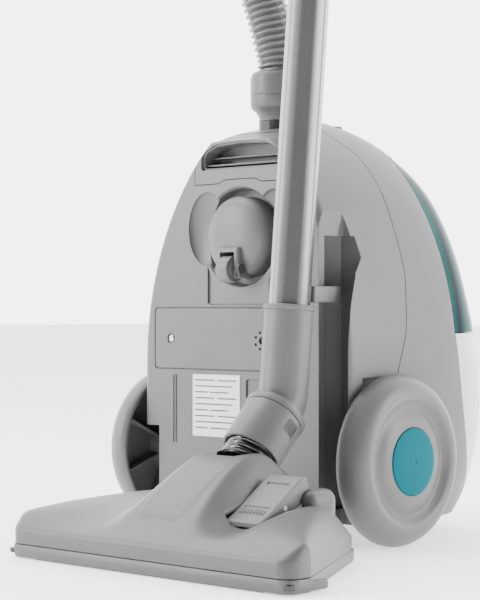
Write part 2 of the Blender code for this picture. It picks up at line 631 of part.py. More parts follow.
# ------------------------------------------------------------------ floor head
REAR_HALF = 73 * MM


def head_rear(u):
    """Rear edge of the head at a distance u from its middle."""
    return HEAD_REAR_Y - max(0.0, abs(u) - REAR_HALF) * 145 / 75


def head_section(u, inset=0.0):
    wide = abs(u)
    front, rear = HEAD_FRONT_Y + inset, head_rear(u) - inset
    depth = rear - front
    crest = 54 * MM - 19 * MM * min(1.0, wide / HEAD_HALF_WIDTH) ** 3 - inset
    hump = 30 * MM * max(0.0, min(1.0, (50 * MM - wide) / (22 * MM)))
    shallow = min(1.0, depth / (90 * MM))
    low = 15.8 * MM if not inset else 10 * MM
    top = 24 * MM + (crest - 24 * MM) * (0.4 + 0.6 * shallow)
    return [(front, low), (front, 23.5 * MM - inset / 2), (front + 0.1 * depth, 29.45 * MM - inset),
            (front + 0.4 * depth, top + 0.25 * hump), (front + 0.62 * depth, top + hump),
            (front + 0.86 * depth, min(top, 46 * MM) - 2 * MM), (rear, 26 * MM - inset),
            (rear, low)]


HEAD_STATIONS = (-148, -143, -120, -95, -73, -50, -28, 28, 50, 73, 95, 120, 143, 148)


def head_solid(name, mat, inset=0.0):
    rings = []
    for station in HEAD_STATIONS:
        u = station * MM
        u -= math.copysign(inset if abs(station) > 140 else 0, u)
        rings.append([(WAND_X + u, y, z) for y, z in head_section(u, inset)])
    return loft(name, rings, mat)


def head_plan(inset):
    half, rear_half = HEAD_HALF_WIDTH - inset, REAR_HALF - inset / 2
    front, rear = HEAD_FRONT_Y + inset, HEAD_REAR_Y - inset
    corner = head_rear(HEAD_HALF_WIDTH) - inset / 2
    return [(-half, front), (half, front), (half, corner), (rear_half, rear), (-rear_half, rear),
            (-half, corner)]


PEDAL_X = (128 * MM, 163 * MM)
PEDAL_PIVOT = (-178 * MM, 49 * MM)
head_housing = head_solid("head_housing", DARK_GREY)
boolean(head_housing, head_solid("head_inside", None, 2.5 * MM))
boolean(head_housing, rod("neck_opening", NECK_START, NECK_START + NECK_DIR * 64 * MM, 22.5 * MM,
                          steps=28))
boolean(head_housing, side_plate("pedal_pocket", [(y * MM, z * MM) for y, z in (
    (-210, 34), (-210, 60), (-190, 90), (-146, 90), (-146, 34))],
    PEDAL_X[0] - 0.5 * MM, PEDAL_X[1] + 0.5 * MM))
head_base = plate("head_base", head_plan(0.0), 7.5 * MM, DARK_GREY, (WAND_X, 0, 11.75 * MM))
boolean(head_base, plate("base_inside", head_plan(4 * MM), 20 * MM, None, (WAND_X, 0, 11.75 * MM)))
soleplate = plate("soleplate", head_plan(1 * MM), 3.7 * MM, BLACK, (WAND_X, 0, 5.85 * MM))
boolean(soleplate, [box("suction_slot", (WAND_X - 125 * MM, -240 * MM, 0),
                        (WAND_X + 125 * MM, -224 * MM, 20 * MM)),
                    box("brush_slot", (WAND_X - 112 * MM, -216 * MM, 0),
                        (WAND_X + 112 * MM, -206 * MM, 20 * MM))]
        + [box(f"roller_slot_{sign}", (WAND_X + (sign * 52 - 7) * MM, -118 * MM, 0),
               (WAND_X + (sign * 52 + 7) * MM, -102 * MM, 20 * MM)) for sign in (-1, 1)])
brush_strip = box("brush_strip", (WAND_X - 110 * MM, -214 * MM, 5 * MM),
                  (WAND_X + 110 * MM, -208 * MM, 20 * MM), BLACK)
felt_strip = box("felt_strip", (WAND_X - 120 * MM, -252 * MM, 0),
                 (WAND_X + 120 * MM, -244 * MM, 3.7 * MM), FOAM)
for side, sign in (("left", -1), ("right", 1)):
    centre = WAND_X + sign * 52 * MM
    turned(f"head_roller_{side}", [(0, -5 * MM), (5.5 * MM, -5 * MM), (6 * MM, -4 * MM),
                                   (6 * MM, 4 * MM), (5.5 * MM, 5 * MM), (0, 5 * MM)],
           DARK_GREY, (centre, -110 * MM, 6 * MM), (0, math.radians(90), 0), 20)
pedal = side_plate("pedal", [(y * MM, z * MM) for y, z in (
    (-206, 38), (-206, 41.5), (-196, 45.5), (-157, 71), (-153, 70.5), (-150, 62), (-160, 50),
    (-178, 42), (-196, 37.5))], *PEDAL_X, GREY)
boolean(pedal, rod("pedal_bore", (PEDAL_X[0] - 9 * MM, *PEDAL_PIVOT),
                   (PEDAL_X[1] + 9 * MM, *PEDAL_PIVOT), 2.3 * MM, steps=12))
pedal_pin = rod("pedal_pin", (PEDAL_X[0] - 0.2 * MM, *PEDAL_PIVOT),
                (PEDAL_X[1] + 0.2 * MM, *PEDAL_PIVOT), 2 * MM, STEEL, 12)

# ------------------------------------------------------------------ tidy cut edges
for obj in (base_shell, upper_shell, dust_bin, handle_grip, elbow, rear_cover):
    mod = obj.modifiers.new("weld", "WELD")
    mod.merge_threshold = 0.02 * MM

# ------------------------------------------------------------------ one parent for the assembly
assembly = bpy.data.objects.new("assembly", None)
parts.objects.link(assembly)
assembly.location = -FOOTPRINT_CENTRE
for obj in [*parts.objects, *cutters.objects]:
    if obj is not assembly:
        obj.parent = assembly
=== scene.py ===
"""The looks of the canister vacuum cleaner: fine meshes and materials around the CAD frame.

Everything is measured in the machine's own frame, in metres: x = 0 is the centre plane
between the big wheels, y = 0 their axle and z = 0 the floor.  HOME moves it to the CAD's origin.
"""
import json
import math

import bmesh
import bpy
import numpy as np
from mathutils import Matrix, Vector


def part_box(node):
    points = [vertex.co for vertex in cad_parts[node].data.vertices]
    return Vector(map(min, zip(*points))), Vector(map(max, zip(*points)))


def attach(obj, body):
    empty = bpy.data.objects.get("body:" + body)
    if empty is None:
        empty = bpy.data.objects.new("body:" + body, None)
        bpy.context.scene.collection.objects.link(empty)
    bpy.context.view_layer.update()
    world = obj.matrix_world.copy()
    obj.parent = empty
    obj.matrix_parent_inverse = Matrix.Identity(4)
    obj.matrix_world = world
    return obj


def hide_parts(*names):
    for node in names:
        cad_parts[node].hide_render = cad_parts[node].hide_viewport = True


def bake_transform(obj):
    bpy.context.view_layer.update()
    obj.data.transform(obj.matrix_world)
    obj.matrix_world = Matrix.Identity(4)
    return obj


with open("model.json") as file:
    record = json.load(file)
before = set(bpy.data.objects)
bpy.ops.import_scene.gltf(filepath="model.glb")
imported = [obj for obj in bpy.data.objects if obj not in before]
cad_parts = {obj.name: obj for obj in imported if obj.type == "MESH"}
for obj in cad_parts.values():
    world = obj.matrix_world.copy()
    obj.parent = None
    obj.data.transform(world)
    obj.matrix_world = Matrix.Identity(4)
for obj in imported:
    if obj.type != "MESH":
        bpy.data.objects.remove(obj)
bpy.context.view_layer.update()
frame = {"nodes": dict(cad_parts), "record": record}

MM = 0.001
SIDES = (("left", -1), ("right", 1))
WHEEL_LOW, WHEEL_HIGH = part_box("wheel_left")[0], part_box("wheel_right")[1]
HOME = Vector(((WHEEL_LOW.x + WHEEL_HIGH.x) / 2, (WHEEL_LOW.y + WHEEL_HIGH.y) / 2, 0))
BODY_OF = {node: body for body, nodes in frame["record"]["behaviour"]["bodies"].items()
           for node in nodes}


# ------------------------------------------------------------------ mesh helpers
def mesh_from(verts, faces):
    mesh = bpy.data.meshes.new("shape")
    mesh.from_pydata([tuple(v) for v in verts], [], faces)
    bm = bmesh.new()
    bm.from_mesh(mesh)
    bmesh.ops.recalc_face_normals(bm, faces=bm.faces)
    bm.to_mesh(mesh)
    bm.free()
    return mesh


def fillet(points, segments=4):
    """Rounds a closed outline: each point is (u, v) or (u, v, radius)."""
    out = []
    count = len(points)
    for i, point in enumerate(points):
        here = np.array(point[:2], float)
        radius = point[2] if len(point) > 2 else 0.0
        if not radius:
            out.append(tuple(here))
            continue
        back = np.array(points[i - 1][:2], float) - here
        ahead = np.array(points[(i + 1) % count][:2], float) - here
        room = min(np.linalg.norm(back), np.linalg.norm(ahead))
        back, ahead = back / np.linalg.norm(back), ahead / np.linalg.norm(ahead)
        half = math.acos(max(-1.0, min(1.0, float(back @ ahead)))) / 2
        reach = min(radius / math.tan(half), room * 0.49)
        radius = reach * math.tan(half)
        centre = here + (back + ahead) / np.linalg.norm(back + ahead) * radius / math.sin(half)
        first, last = here + back * reach - centre, here + ahead * reach - centre
        turn = math.atan2(first[0] * last[1] - first[1] * last[0], float(first @ last))
        for k in range(segments + 1):
            a = turn * k / segments
            out.append((centre[0] + first[0] * math.cos(a) - first[1] * math.sin(a),
                        centre[1] + first[0] * math.sin(a) + first[1] * math.cos(a)))
    return out


def pose(at=(0, 0, 0), towards=(0, 0, 1)):
    """Takes a shape built up along Z to a place and a direction."""
    turn = Vector(towards).to_track_quat("Z", "Y").to_matrix().to_4x4()
    return Matrix.Translation(Vector(at)) @ turn


def revolve(outline, at=(0, 0, 0), towards=(0, 0, 1), steps=96):
    """A closed outline of (radius, height) turned about the line through at, towards a way."""
    verts, faces, rows = [], [], []
    for radius, height in outline:
        if radius < 1e-7:
            rows.append([len(verts)] * steps)
            verts.append((0, 0, height))
            continue
        rows.append(list(range(len(verts), len(verts) + steps)))
        for k in range(steps):
            a = 2 * math.pi * k / steps
            verts.append((radius * math.cos(a), radius * math.sin(a), height))
    for low, high in zip(rows, rows[1:] + rows[:1]):
        if low[0] == low[1] and high[0] == high[1]:
            continue
        for k in range(steps):
            j = (k + 1) % steps
            face = [low[k], low[j], high[j], high[k]]
            face = [v for i, v in enumerate(face) if v not in face[:i]]
            faces.append(face)
    mesh = mesh_from(verts, faces)
    mesh.transform(pose(at, towards))
    return mesh


def scaled(points, factor=MM):
    return [tuple(value * factor for value in point) for point in points]


def prism(outline, low, high, axis="Z"):
    """An outline pushed along an axis: (x, y) along Z, (y, z) along X or (x, z) along Y."""
    place = {"Z": lambda u, v, w: (u, v, w), "X": lambda u, v, w: (w, u, v),
             "Y": lambda u, v, w: (u, w, v)}[axis]
    count = len(outline)
    verts = [place(u, v, low) for u, v in outline] + [place(u, v, high) for u, v in outline]
    faces = [list(range(count)), list(range(count, 2 * count))]
    for i in range(count):
        j = (i + 1) % count
        faces.append([i, j, count + j, count + i])
    return mesh_from(verts, faces)


def rounded_box(low_u, low_v, high_u, high_v, radius, segments=4):
    """The outline of a rectangle with round corners, given in millimetres."""
    return fillet(scaled([(low_u, low_v, radius), (high_u, low_v, radius),
                          (high_u, high_v, radius), (low_u, high_v, radius)]), segments)


def block(low, high, bevel=0.0, segments=3):
    bm = bmesh.new()
    bmesh.ops.create_cube(bm, size=1)
    low, high = Vector(low), Vector(high)
    bmesh.ops.scale(bm, vec=high - low, verts=bm.verts)
    bmesh.ops.translate(bm, vec=(low + high) / 2, verts=bm.verts)
    if bevel:
        bmesh.ops.bevel(bm, geom=bm.edges[:], offset=bevel, segments=segments, profile=0.5,
                        affect="EDGES")
    mesh = bpy.data.meshes.new("block")
    bm.to_mesh(mesh)
    bm.free()
    return mesh


def loft(rings):
    count = len(rings[0])
    verts = [p for ring in rings for p in ring]
    faces = [list(range(count)), list(range(len(verts) - count, len(verts)))]
    for row in range(len(rings) - 1):
        for i in range(count):
            j = (i + 1) % count
            a, b = row * count, (row + 1) * count
            faces.append([a + i, a + j, b + j, b + i])
    return mesh_from(verts, faces)


def smooth_through(points, per_span=8):
    """A Catmull-Rom curve through the given points, as dense points."""
    pts = [np.array(p, float) for p in points]
    pts = [2 * pts[0] - pts[1], *pts, 2 * pts[-1] - pts[-2]]
    out = []
    for a, b, c, d in zip(pts, pts[1:], pts[2:], pts[3:]):
        for i in range(per_span):
            t = i / per_span
            out.append(0.5 * (2 * b + (c - a) * t + (2 * a - 5 * b + 4 * c - d) * t * t
                              + (3 * b - a - 3 * c + d) * t ** 3))
    out.append(pts[-2])
    return np.array(out)


def even(route, step):
    """The same line with points an even step apart."""
    route = np.array(route, float)
    along = np.concatenate([[0], np.cumsum(np.linalg.norm(np.diff(route, axis=0), axis=1))])
    wanted = np.linspace(0, along[-1], max(2, round(along[-1] / step) + 1))
    return np.stack([np.interp(wanted, along, route[:, k]) for k in range(3)], 1), wanted


def tube(route, radius, sides=40, bore=None):
    """A round tube along a line; radius and bore are numbers or one value for each point."""
    route = [Vector(p) for p in route]
    radii = np.broadcast_to(radius, len(route))
    ways = [(b - a).normalized() for a, b in zip(route, route[1:])]
    ways = [ways[0]] + [(a + b).normalized() for a, b in zip(ways, ways[1:])] + [ways[-1]]
    across = ways[0].orthogonal().normalized()
    frames = []
    for way in ways:
        across = (across - way * across.dot(way)).normalized()
        frames.append((across, way.cross(across)))

    def ring(i, r):
        u, v = frames[i]
        return [route[i] + (u * math.cos(2 * math.pi * k / sides)
                            + v * math.sin(2 * math.pi * k / sides)) * r for k in range(sides)]

    rings = [ring(i, radii[i]) for i in range(len(route))]
    if bore is None:
        return loft(rings)
    bores = np.broadcast_to(bore, len(route))
    rings += [ring(i, bores[i]) for i in reversed(range(len(route)))]
    verts = [p for r in rings for p in r]
    faces = []
    for row in range(len(rings)):
        a, b = row * sides, (row + 1) % len(rings) * sides
        for k in range(sides):
            j = (k + 1) % sides
            faces.append([a + k, a + j, b + j, b + k])
    return mesh_from(verts, faces)


def combined(mesh, tools, operation="DIFFERENCE"):
    """The mesh after a chain of booleans with other meshes."""
    scene = bpy.context.scene.collection
    base = bpy.data.objects.new("base", mesh)
    scene.objects.link(base)
    helpers = [base]
    for tool in tools:
        helper = bpy.data.objects.new("tool", tool)
        scene.objects.link(helper)
        helpers.append(helper)
        mod = base.modifiers.new("cut", "BOOLEAN")
        mod.operation = operation
        mod.object = helper
        mod.solver = "MANIFOLD"
    bpy.context.view_layer.update()
    result = bpy.data.meshes.new_from_object(
        base.evaluated_get(bpy.context.evaluated_depsgraph_get()))
    for helper in helpers:
        bpy.data.objects.remove(helper)
    return result


def joined(*meshes):
    bm = bmesh.new()
    for mesh in meshes:
        bm.from_mesh(mesh)
    mesh = bpy.data.meshes.new("joined")
    bm.to_mesh(mesh)
    bm.free()
    return mesh


def piece(name, mesh, mat, node=None, replaces=(), body=None, sharp=32):
    """Puts a finished mesh on the body of the CAD node that it stands for."""
    node = node or (replaces[0] if replaces else name)
    mesh.name = name
    mesh.transform(Matrix.Translation(HOME))
    mesh.materials.clear()
    mesh.materials.append(mat)
    mesh.shade_smooth()
    mesh.set_sharp_from_angle(angle=math.radians(sharp))
    obj = bpy.data.objects.new(name, mesh)
    bpy.context.scene.collection.objects.link(obj)
    if body is not False:
        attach(obj, body or BODY_OF[node])
    if replaces:
        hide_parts(*replaces)
    return obj


# ------------------------------------------------------------------ materials
def shader_node(tree, kind, **inputs):
    """Adds a node, with values for its inputs: From_Min stands for From Min."""
    made = tree.nodes.new("ShaderNode" + kind)
    for name, value in inputs.items():
        made.inputs[name.replace("_", " ")].default_value = value
    return made


def moulded(name, colour, roughness=0.45, grain=0.00004, variation=0.05, edge=0.0006,
            coat=0.0, wear=0.05, grain_scale=1500.0):
    """Moulded plastic: fine grain, faint cloudiness, softened and slightly rubbed edges."""
    mat = bpy.data.materials.new(name)
    mat.use_nodes = True
    tree = mat.node_tree
    shader = tree.nodes["Principled BSDF"]
    shader.inputs["Coat Weight"].default_value = coat
    shader.inputs["Coat Roughness"].default_value = 0.12
    shader.inputs["Specular IOR Level"].default_value = 0.45
    link = tree.links.new
    place = shader_node(tree, "TexCoord")
    cloud = shader_node(tree, "TexNoise", Scale=14.0, Detail=4.0)
    link(place.outputs["Object"], cloud.inputs["Vector"])
    ramp = shader_node(tree, "ValToRGB")
    ramp.color_ramp.elements[0].position = 0.3
    ramp.color_ramp.elements[1].position = 0.7
    ramp.color_ramp.elements[0].color = (*[c * (1 - variation) for c in colour], 1)
    ramp.color_ramp.elements[1].color = (*[min(1, c * (1 + variation)) for c in colour], 1)
    link(cloud.outputs["Fac"], ramp.inputs["Fac"])
    shape = shader_node(tree, "NewGeometry")
    rub = shader_node(tree, "MapRange", From_Min=0.53, From_Max=0.62, To_Max=wear)
    link(shape.outputs["Pointiness"], rub.inputs["Value"])
    lighter = shader_node(tree, "Mix")
    lighter.data_type = "RGBA"
    lighter.inputs["B"].default_value = (*[min(1, c * 1.7 + 0.02) for c in colour], 1)
    link(rub.outputs["Result"], lighter.inputs["Factor"])
    link(ramp.outputs["Color"], lighter.inputs["A"])
    link(lighter.outputs["Result"], shader.inputs["Base Color"])
    fine = shader_node(tree, "TexNoise", Scale=grain_scale, Detail=2.0)
    link(place.outputs["Object"], fine.inputs["Vector"])
    rough = shader_node(tree, "MapRange", To_Min=roughness - 0.06, To_Max=roughness + 0.06)
    link(fine.outputs["Fac"], rough.inputs["Value"])
    link(rough.outputs["Result"], shader.inputs["Roughness"])
    soft = shader_node(tree, "Bevel", Radius=edge)
    soft.samples = 4
    bump = shader_node(tree, "Bump", Strength=0.5, Distance=grain)
    link(fine.outputs["Fac"], bump.inputs["Height"])
    link(soft.outputs["Normal"], bump.inputs["Normal"])
    link(bump.outputs["Normal"], shader.inputs["Normal"])
    return mat


def fibrous(name, colour, scale=900.0, depth=0.0004):
    """Felt, foam, paper or bristle: rough, with a fine uneven relief."""
    mat = moulded(name, colour, 0.9, depth, 0.2, 0.0002, wear=0.0, grain_scale=scale)
    mat.node_tree.nodes["Principled BSDF"].inputs["Sheen Weight"].default_value = 0.3
    return mat


def brushed(name, colour, roughness=0.3):
    mat = moulded(name, colour, roughness, 0.00002, 0.04, 0.0003, grain_scale=2500.0)
    mat.node_tree.nodes["Principled BSDF"].inputs["Metallic"].default_value = 1.0
    return mat


def satin(mat, level):
    """The same plastic with less of a sheen."""
    mat.node_tree.nodes["Principled BSDF"].inputs["Specular IOR Level"].default_value = level
    return mat


def tinted(name, tones, low, high, sway=0.02):
    """Clear tinted plastic: the parts inside show through as upright streaks, front to back.

    The tones run evenly from y = low to y = high, and the streaks waver by sway.
    """
    mat = satin(moulded(name, tones[0], 0.12, 0.000004, 0.1, 0.0004, wear=0.0), 0.02)
    tree = mat.node_tree
    link = tree.links.new
    place = shader_node(tree, "TexCoord")
    split = shader_node(tree, "SeparateXYZ")
    link(place.outputs["Object"], split.inputs["Vector"])
    wave = shader_node(tree, "TexNoise", Scale=9.0)
    link(place.outputs["Object"], wave.inputs["Vector"])
    shift = shader_node(tree, "Math")
    shift.operation = "MULTIPLY_ADD"
    shift.inputs[1].default_value = sway
    link(wave.outputs["Fac"], shift.inputs[0])
    link(split.outputs["Y"], shift.inputs[2])
    depth = shader_node(tree, "MapRange", From_Min=low + sway / 2, From_Max=high + sway / 2)
    link(shift.outputs["Value"], depth.inputs["Value"])
    ramp = shader_node(tree, "ValToRGB")
    stops = ramp.color_ramp.elements
    while len(stops) < len(tones):
        stops.new(0.5)
    for i, tone in enumerate(tones):
        stops[i].position = i / (len(tones) - 1)
        stops[i].color = (*tone, 1)
    link(depth.outputs["Result"], ramp.inputs["Fac"])
    link(ramp.outputs["Color"], tree.nodes["Principled BSDF"].inputs["Base Color"])
    return mat


GREY = moulded("grey_plastic", (0.115, 0.1155, 0.1165), 0.42)
TUBE_GREY = moulded("tube_plastic", (0.075, 0.075, 0.076), 0.24, coat=0.6, edge=0.0008)
WHEEL_GREY = moulded("wheel_plastic", (0.125, 0.1255, 0.127), 0.42)
HEAD_GREY = moulded("head_plastic", (0.088, 0.088, 0.089), 0.42)
DARK = moulded("dark_grey_plastic", (0.055, 0.055, 0.056), 0.45)
BLACK = moulded("black_plastic", (0.012, 0.012, 0.013), 0.4)
GLOSS_BLACK = moulded("glossy_rubber", (0.008, 0.008, 0.008), 0.16, coat=0.5)
RUBBER = moulded("black_rubber", (0.02, 0.02, 0.02), 0.75)
HUB = satin(moulded("teal_plastic", (0.0, 0.12, 0.15), 0.4, wear=0.0), 0.03)
BRIGHT_TEAL, TEAL, NAVY = (0.0, 0.085, 0.08), (0.0, 0.06, 0.055), (0.0, 0.003, 0.008)
TINT = tinted("teal_clear",
              [BRIGHT_TEAL, NAVY, (0.0, 0.05, 0.05), TEAL, NAVY, (0.0, 0.04, 0.04), TEAL],
              0.104 + HOME.y, 0.190 + HOME.y)
WHITE = moulded("white_plastic", (0.58, 0.58, 0.585), 0.25, coat=0.3, variation=0.01)
STEEL = brushed("steel", (0.62, 0.62, 0.63))
LABEL = moulded("label_paper", (0.82, 0.82, 0.83), 0.5, variation=0.01)
INK = moulded("label_bars", (0.1, 0.1, 0.11), 0.6)
HOSE_MAT = moulded("hose_plastic", (0.09, 0.09, 0.092), 0.2, coat=0.5, edge=0.0002)
FELT = fibrous("felt", (0.06, 0.06, 0.06))
FILTER = fibrous("filter", (0.5, 0.5, 0.48), 500.0)
BRISTLE = fibrous("bristle", (0.02, 0.02, 0.02), 1800.0)

# ------------------------------------------------------------------ camera and stage
VIEW_TURN = math.radians(42.5)
CAMERA_AT = Vector((1026.4, -1170.1, 198)) * MM
LENS_MM = 106.2
LEVEL_SHIFT = 8 / 600
WORLD_DIM, WORLD_BRIGHT = 0.06, 5.5     # the studio behind the camera and behind the object
DIM_UNTIL, BRIGHT_FROM = -0.35, 0.75    # how far a direction points away from the camera, -1 to 1
FLOOR_GLOW = 1.1


def set_camera():
    data = bpy.data.cameras.new("camera")
    data.sensor_fit = "VERTICAL"
    data.sensor_height = 36
    data.lens = LENS_MM
    data.shift_y = LEVEL_SHIFT
    data.clip_start = 0.05
    camera = bpy.data.objects.new("camera", data)
    camera.location = CAMERA_AT + HOME
    camera.rotation_euler = (math.radians(90), 0, VIEW_TURN)
    bpy.context.scene.collection.objects.link(camera)
    bpy.context.scene.camera = camera


def area_light(name, at, target, size, power):
    data = bpy.data.lights.new(name, "AREA")
    data.shape = "RECTANGLE"
    data.size, data.size_y = size
    data.energy = power
    light = bpy.data.objects.new(name, data)
    light.location = Vector(at) + HOME
    light.rotation_euler = (Vector(target) - Vector(at)).to_track_quat("-Z", "Y").to_euler()
    bpy.context.scene.collection.objects.link(light)


def set_stage():
    world = bpy.data.worlds.new("studio")
    world.use_nodes = True
    tree = world.node_tree
    background = tree.nodes["Background"]
    background.inputs["Color"].default_value = (1, 1, 1, 1)
    place = shader_node(tree, "TexCoord")
    facing = shader_node(tree, "VectorMath")
    facing.operation = "DOT_PRODUCT"
    facing.inputs[1].default_value = (-math.sin(VIEW_TURN), math.cos(VIEW_TURN), 0)
    tree.links.new(place.outputs["Generated"], facing.inputs[0])
    strength = shader_node(tree, "MapRange", From_Min=DIM_UNTIL, From_Max=BRIGHT_FROM,
                           To_Min=WORLD_DIM, To_Max=WORLD_BRIGHT)
    tree.links.new(facing.outputs["Value"], strength.inputs["Value"])
    tree.links.new(strength.outputs["Result"], background.inputs["Strength"])
    bpy.context.scene.world = world
    bpy.ops.mesh.primitive_plane_add(size=30)
    floor = bpy.context.object
    floor.name = "floor"
    paper = moulded("floor_paper", (0.93, 0.93, 0.93), 0.8, variation=0.005)
    shader = paper.node_tree.nodes["Principled BSDF"]
    shader.inputs["Emission Color"].default_value = (1, 1, 1, 1)
    shader.inputs["Emission Strength"].default_value = FLOOR_GLOW
    floor.data.materials.append(paper)
    area_light("left", (-1.5, -1.9, 1.1), (0, 0, 0.25), (0.8, 1.5), 72)
    area_light("top", (-0.9, -0.7, 2.5), (0, 0, 0.1), (1.4, 1.4), 66)
    area_light("right", (2.2, 1.25, 1.0), (0, 0, 0.2), (0.6, 1.5), 66)


set_camera()
set_stage()

# ------------------------------------------------------------------ wand and hose lines
WAND_X = 87.4 * MM
WAND_BASE = Vector((WAND_X, -86.4 * MM, 200 * MM))
WAND_LEAN = math.radians(5.5)
WAND_AXIS = Vector((0, math.sin(WAND_LEAN), math.cos(WAND_LEAN)))
NECK_DIR = Vector((0, -math.sqrt(0.5), -math.sqrt(0.5)))
NECK_START = Vector((WAND_X, -102.4 * MM, 113.7 * MM))
BEND = Vector((WAND_X, -96 * MM, 119 * MM))
INLET = Vector((0, 2 * MM, 359 * MM))
LEFT = Vector((-0.7373, -0.6756, 0))
NEARER = Vector((0.6756, -0.7373, 0))
MOUTH_DIR = (Vector((0, 0, 0.968)) - LEFT * 0.25).normalized()


def wand_point(s):
    return WAND_BASE + WAND_AXIS * s


GRIP_START = wand_point(0.456)
GRIP_BEND = wand_point(0.55)
GRIP_END = GRIP_BEND + Vector((0, 0, 0.06)) - LEFT * 0.006
MOUTH = GRIP_END + MOUTH_DIR * 0.045
HOSE_END = MOUTH + MOUTH_DIR * 0.0363

# the hose's route: (metres from the inlet along LEFT, metres along NEARER, height)
ARCH = [(0, 0, 0.4056), (0.0004, 0, 0.412), (0.0030, 0.0005, 0.427), (0.0145, 0.002, 0.469),
        (0.040, 0.006, 0.545), (0.085, 0.014, 0.66),
        (0.150, 0.024, 0.79), (0.208, 0.034, 0.91), (0.238, 0.043, 1.03), (0.222, 0.052, 1.14),
        (0.158, 0.061, 1.225), (0.073, 0.069, 1.25), (-0.010, 0.076, 1.22),
        (-0.066, 0.080, 1.145), (-0.087, 0.082, 1.05), (-0.083, 0.0825, 0.97)]
HOSE_RADIUS = 20 * MM
RIB_PITCH, RIB_DEPTH = 6 * MM, 3.0 * MM
POINTS_PER_RIB = 8


def make_hose():
    points = [Vector((INLET.x, INLET.y, h)) + LEFT * left + NEARER * near
              for left, near, h in ARCH]
    points += [HOSE_END + MOUTH_DIR * 0.05, HOSE_END]
    route = smooth_through([tuple(p) for p in points], 12)
    line, along = even(route, RIB_PITCH / POINTS_PER_RIB)
    wave = 0.5 + 0.5 * np.cos(2 * math.pi * along / RIB_PITCH)
    radius = HOSE_RADIUS - RIB_DEPTH * (1 - wave ** 0.7)
    mesh = tube(line, radius, 36)
    hose = piece("suction_hose", mesh, HOSE_MAT, replaces=["hose"], body=False, sharp=80)
    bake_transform(hose)


make_hose()

# ------------------------------------------------------------------ casing form
HULL_BOTTOM, HULL_TOP = 17 * MM, 364 * MM
HULL_HALF_WIDTH = 119 * MM
HULL_SHOULDER_Z = 150 * MM
EDGE_RADIUS = 9 * MM
FLANK_CENTRE_Y = 20 * MM
BACK_SQUARENESS = 3.6
WALL = 2.4 * MM
FACE_Y = -50 * MM
COVER_SPLIT_Z, CUP_TOP_Z = 176 * MM, 334 * MM
COVER_EDGE_Y = 104.5 * MM
AXLE_Z = 71.6 * MM
POCKET_X = 98 * MM
POCKET_RADIUS = 74.5 * MM
ARCH_TOP_Z = 140.5 * MM
ARCH_FRONT_Y = -31 * MM
STRIP_BOTTOM_Z = 93 * MM
CASTER_Z = 259 * MM
CASTER_RING = 42 * MM
LINE = 0.45 * MM                   # half the width of a parting line

BACK_PROFILE = smooth_through([
    (17, 150), (33, 165), (70, 188), (108, 197), (140, 193), (176, 187), (210, 180),
    (240, 175.5), (265, 171), (290, 164), (305, 157), (318, 147), (333, 131), (342, 120),
    (350, 106), (358, 86), (364, 60)]) * MM
FRONT_PROFILE = smooth_through([
    (17, -50), (200, -50), (330, -50), (342, -46), (350, -30), (357, 0), (364, 45)]) * MM
SEAM = smooth_through([(15, 139), (19, 151), (30, 179), (35, 205), (40, 226), (44, 266),
                       (50, 308), (47, 333), (34, 348), (24, 370)], 6) * MM


def half_width(z):
    if z < HULL_SHOULDER_Z:
        return HULL_HALF_WIDTH - 8 * MM * max(0.0, 1 - z / (50 * MM)) ** 2
    t = (z - HULL_SHOULDER_Z) / (HULL_TOP + 2 * MM - HULL_SHOULDER_Z)
    return HULL_HALF_WIDTH * max(0.0, 1 - t * t) ** 0.7


def casing_ring(z, inset=0.0):
    wide = half_width(z) - inset
    front = float(np.interp(z, FRONT_PROFILE[:, 0], FRONT_PROFILE[:, 1])) + inset
    back = float(np.interp(z, BACK_PROFILE[:, 0], BACK_PROFILE[:, 1])) - inset
    deep = back - front
    middle = max(front + 0.1 * deep, min(FLANK_CENTRE_Y, front + 0.45 * deep))
    radius = min(EDGE_RADIUS, wide / 2, (middle - front) / 2)
    crown = 2 * MM if z > 343 * MM else 0.0
    half = [(wide * 0.45, front + 0.3 * crown), (wide - radius, front + crown)]
    for i in range(1, 9):
        a = math.radians(90 * i / 8)
        half.append((wide - radius + radius * math.sin(a),
                     front + crown + (radius - crown) * (1 - math.cos(a))))
    for i in range(1, 30):
        a = math.radians(90 * i / 30)
        half.append((wide * math.cos(a) ** (2 / BACK_SQUARENESS),
                     middle + (back - middle) * math.sin(a) ** (2 / BACK_SQUARENESS)))
    ring = [(0, front)] + half + [(0, back)] + [(-x, y) for x, y in reversed(half)]
    return [(x, y, z) for x, y in ring]


def casing(inset=0.0, rows=80):
    low = HULL_BOTTOM + inset
    high = HULL_TOP - 3 * inset - 0.3 * MM
    return loft([casing_ring(low + (high - low) * math.sin(math.pi / 2 * i / rows) ** 0.9, inset)
                 for i in range(rows + 1)])


def grown(points, grow):
    return [(u * MM + du * grow, v * MM + dv * grow) for u, v, du, dv in points]


def wheel_pocket(grow):
    radius = POCKET_RADIUS + grow
    flat = ARCH_TOP_Z + grow - AXLE_Z
    start = math.asin(flat / radius)
    arc = [start - (start + math.radians(100)) * i / 48 for i in range(49)]
    return ([(-90 * MM, -20 * MM), (-90 * MM, STRIP_BOTTOM_Z + grow),
             (ARCH_FRONT_Y - grow, STRIP_BOTTOM_Z + grow), (ARCH_FRONT_Y - grow, flat + AXLE_Z)]
            + [(radius * math.cos(a), AXLE_Z + radius * math.sin(a)) for a in arc])


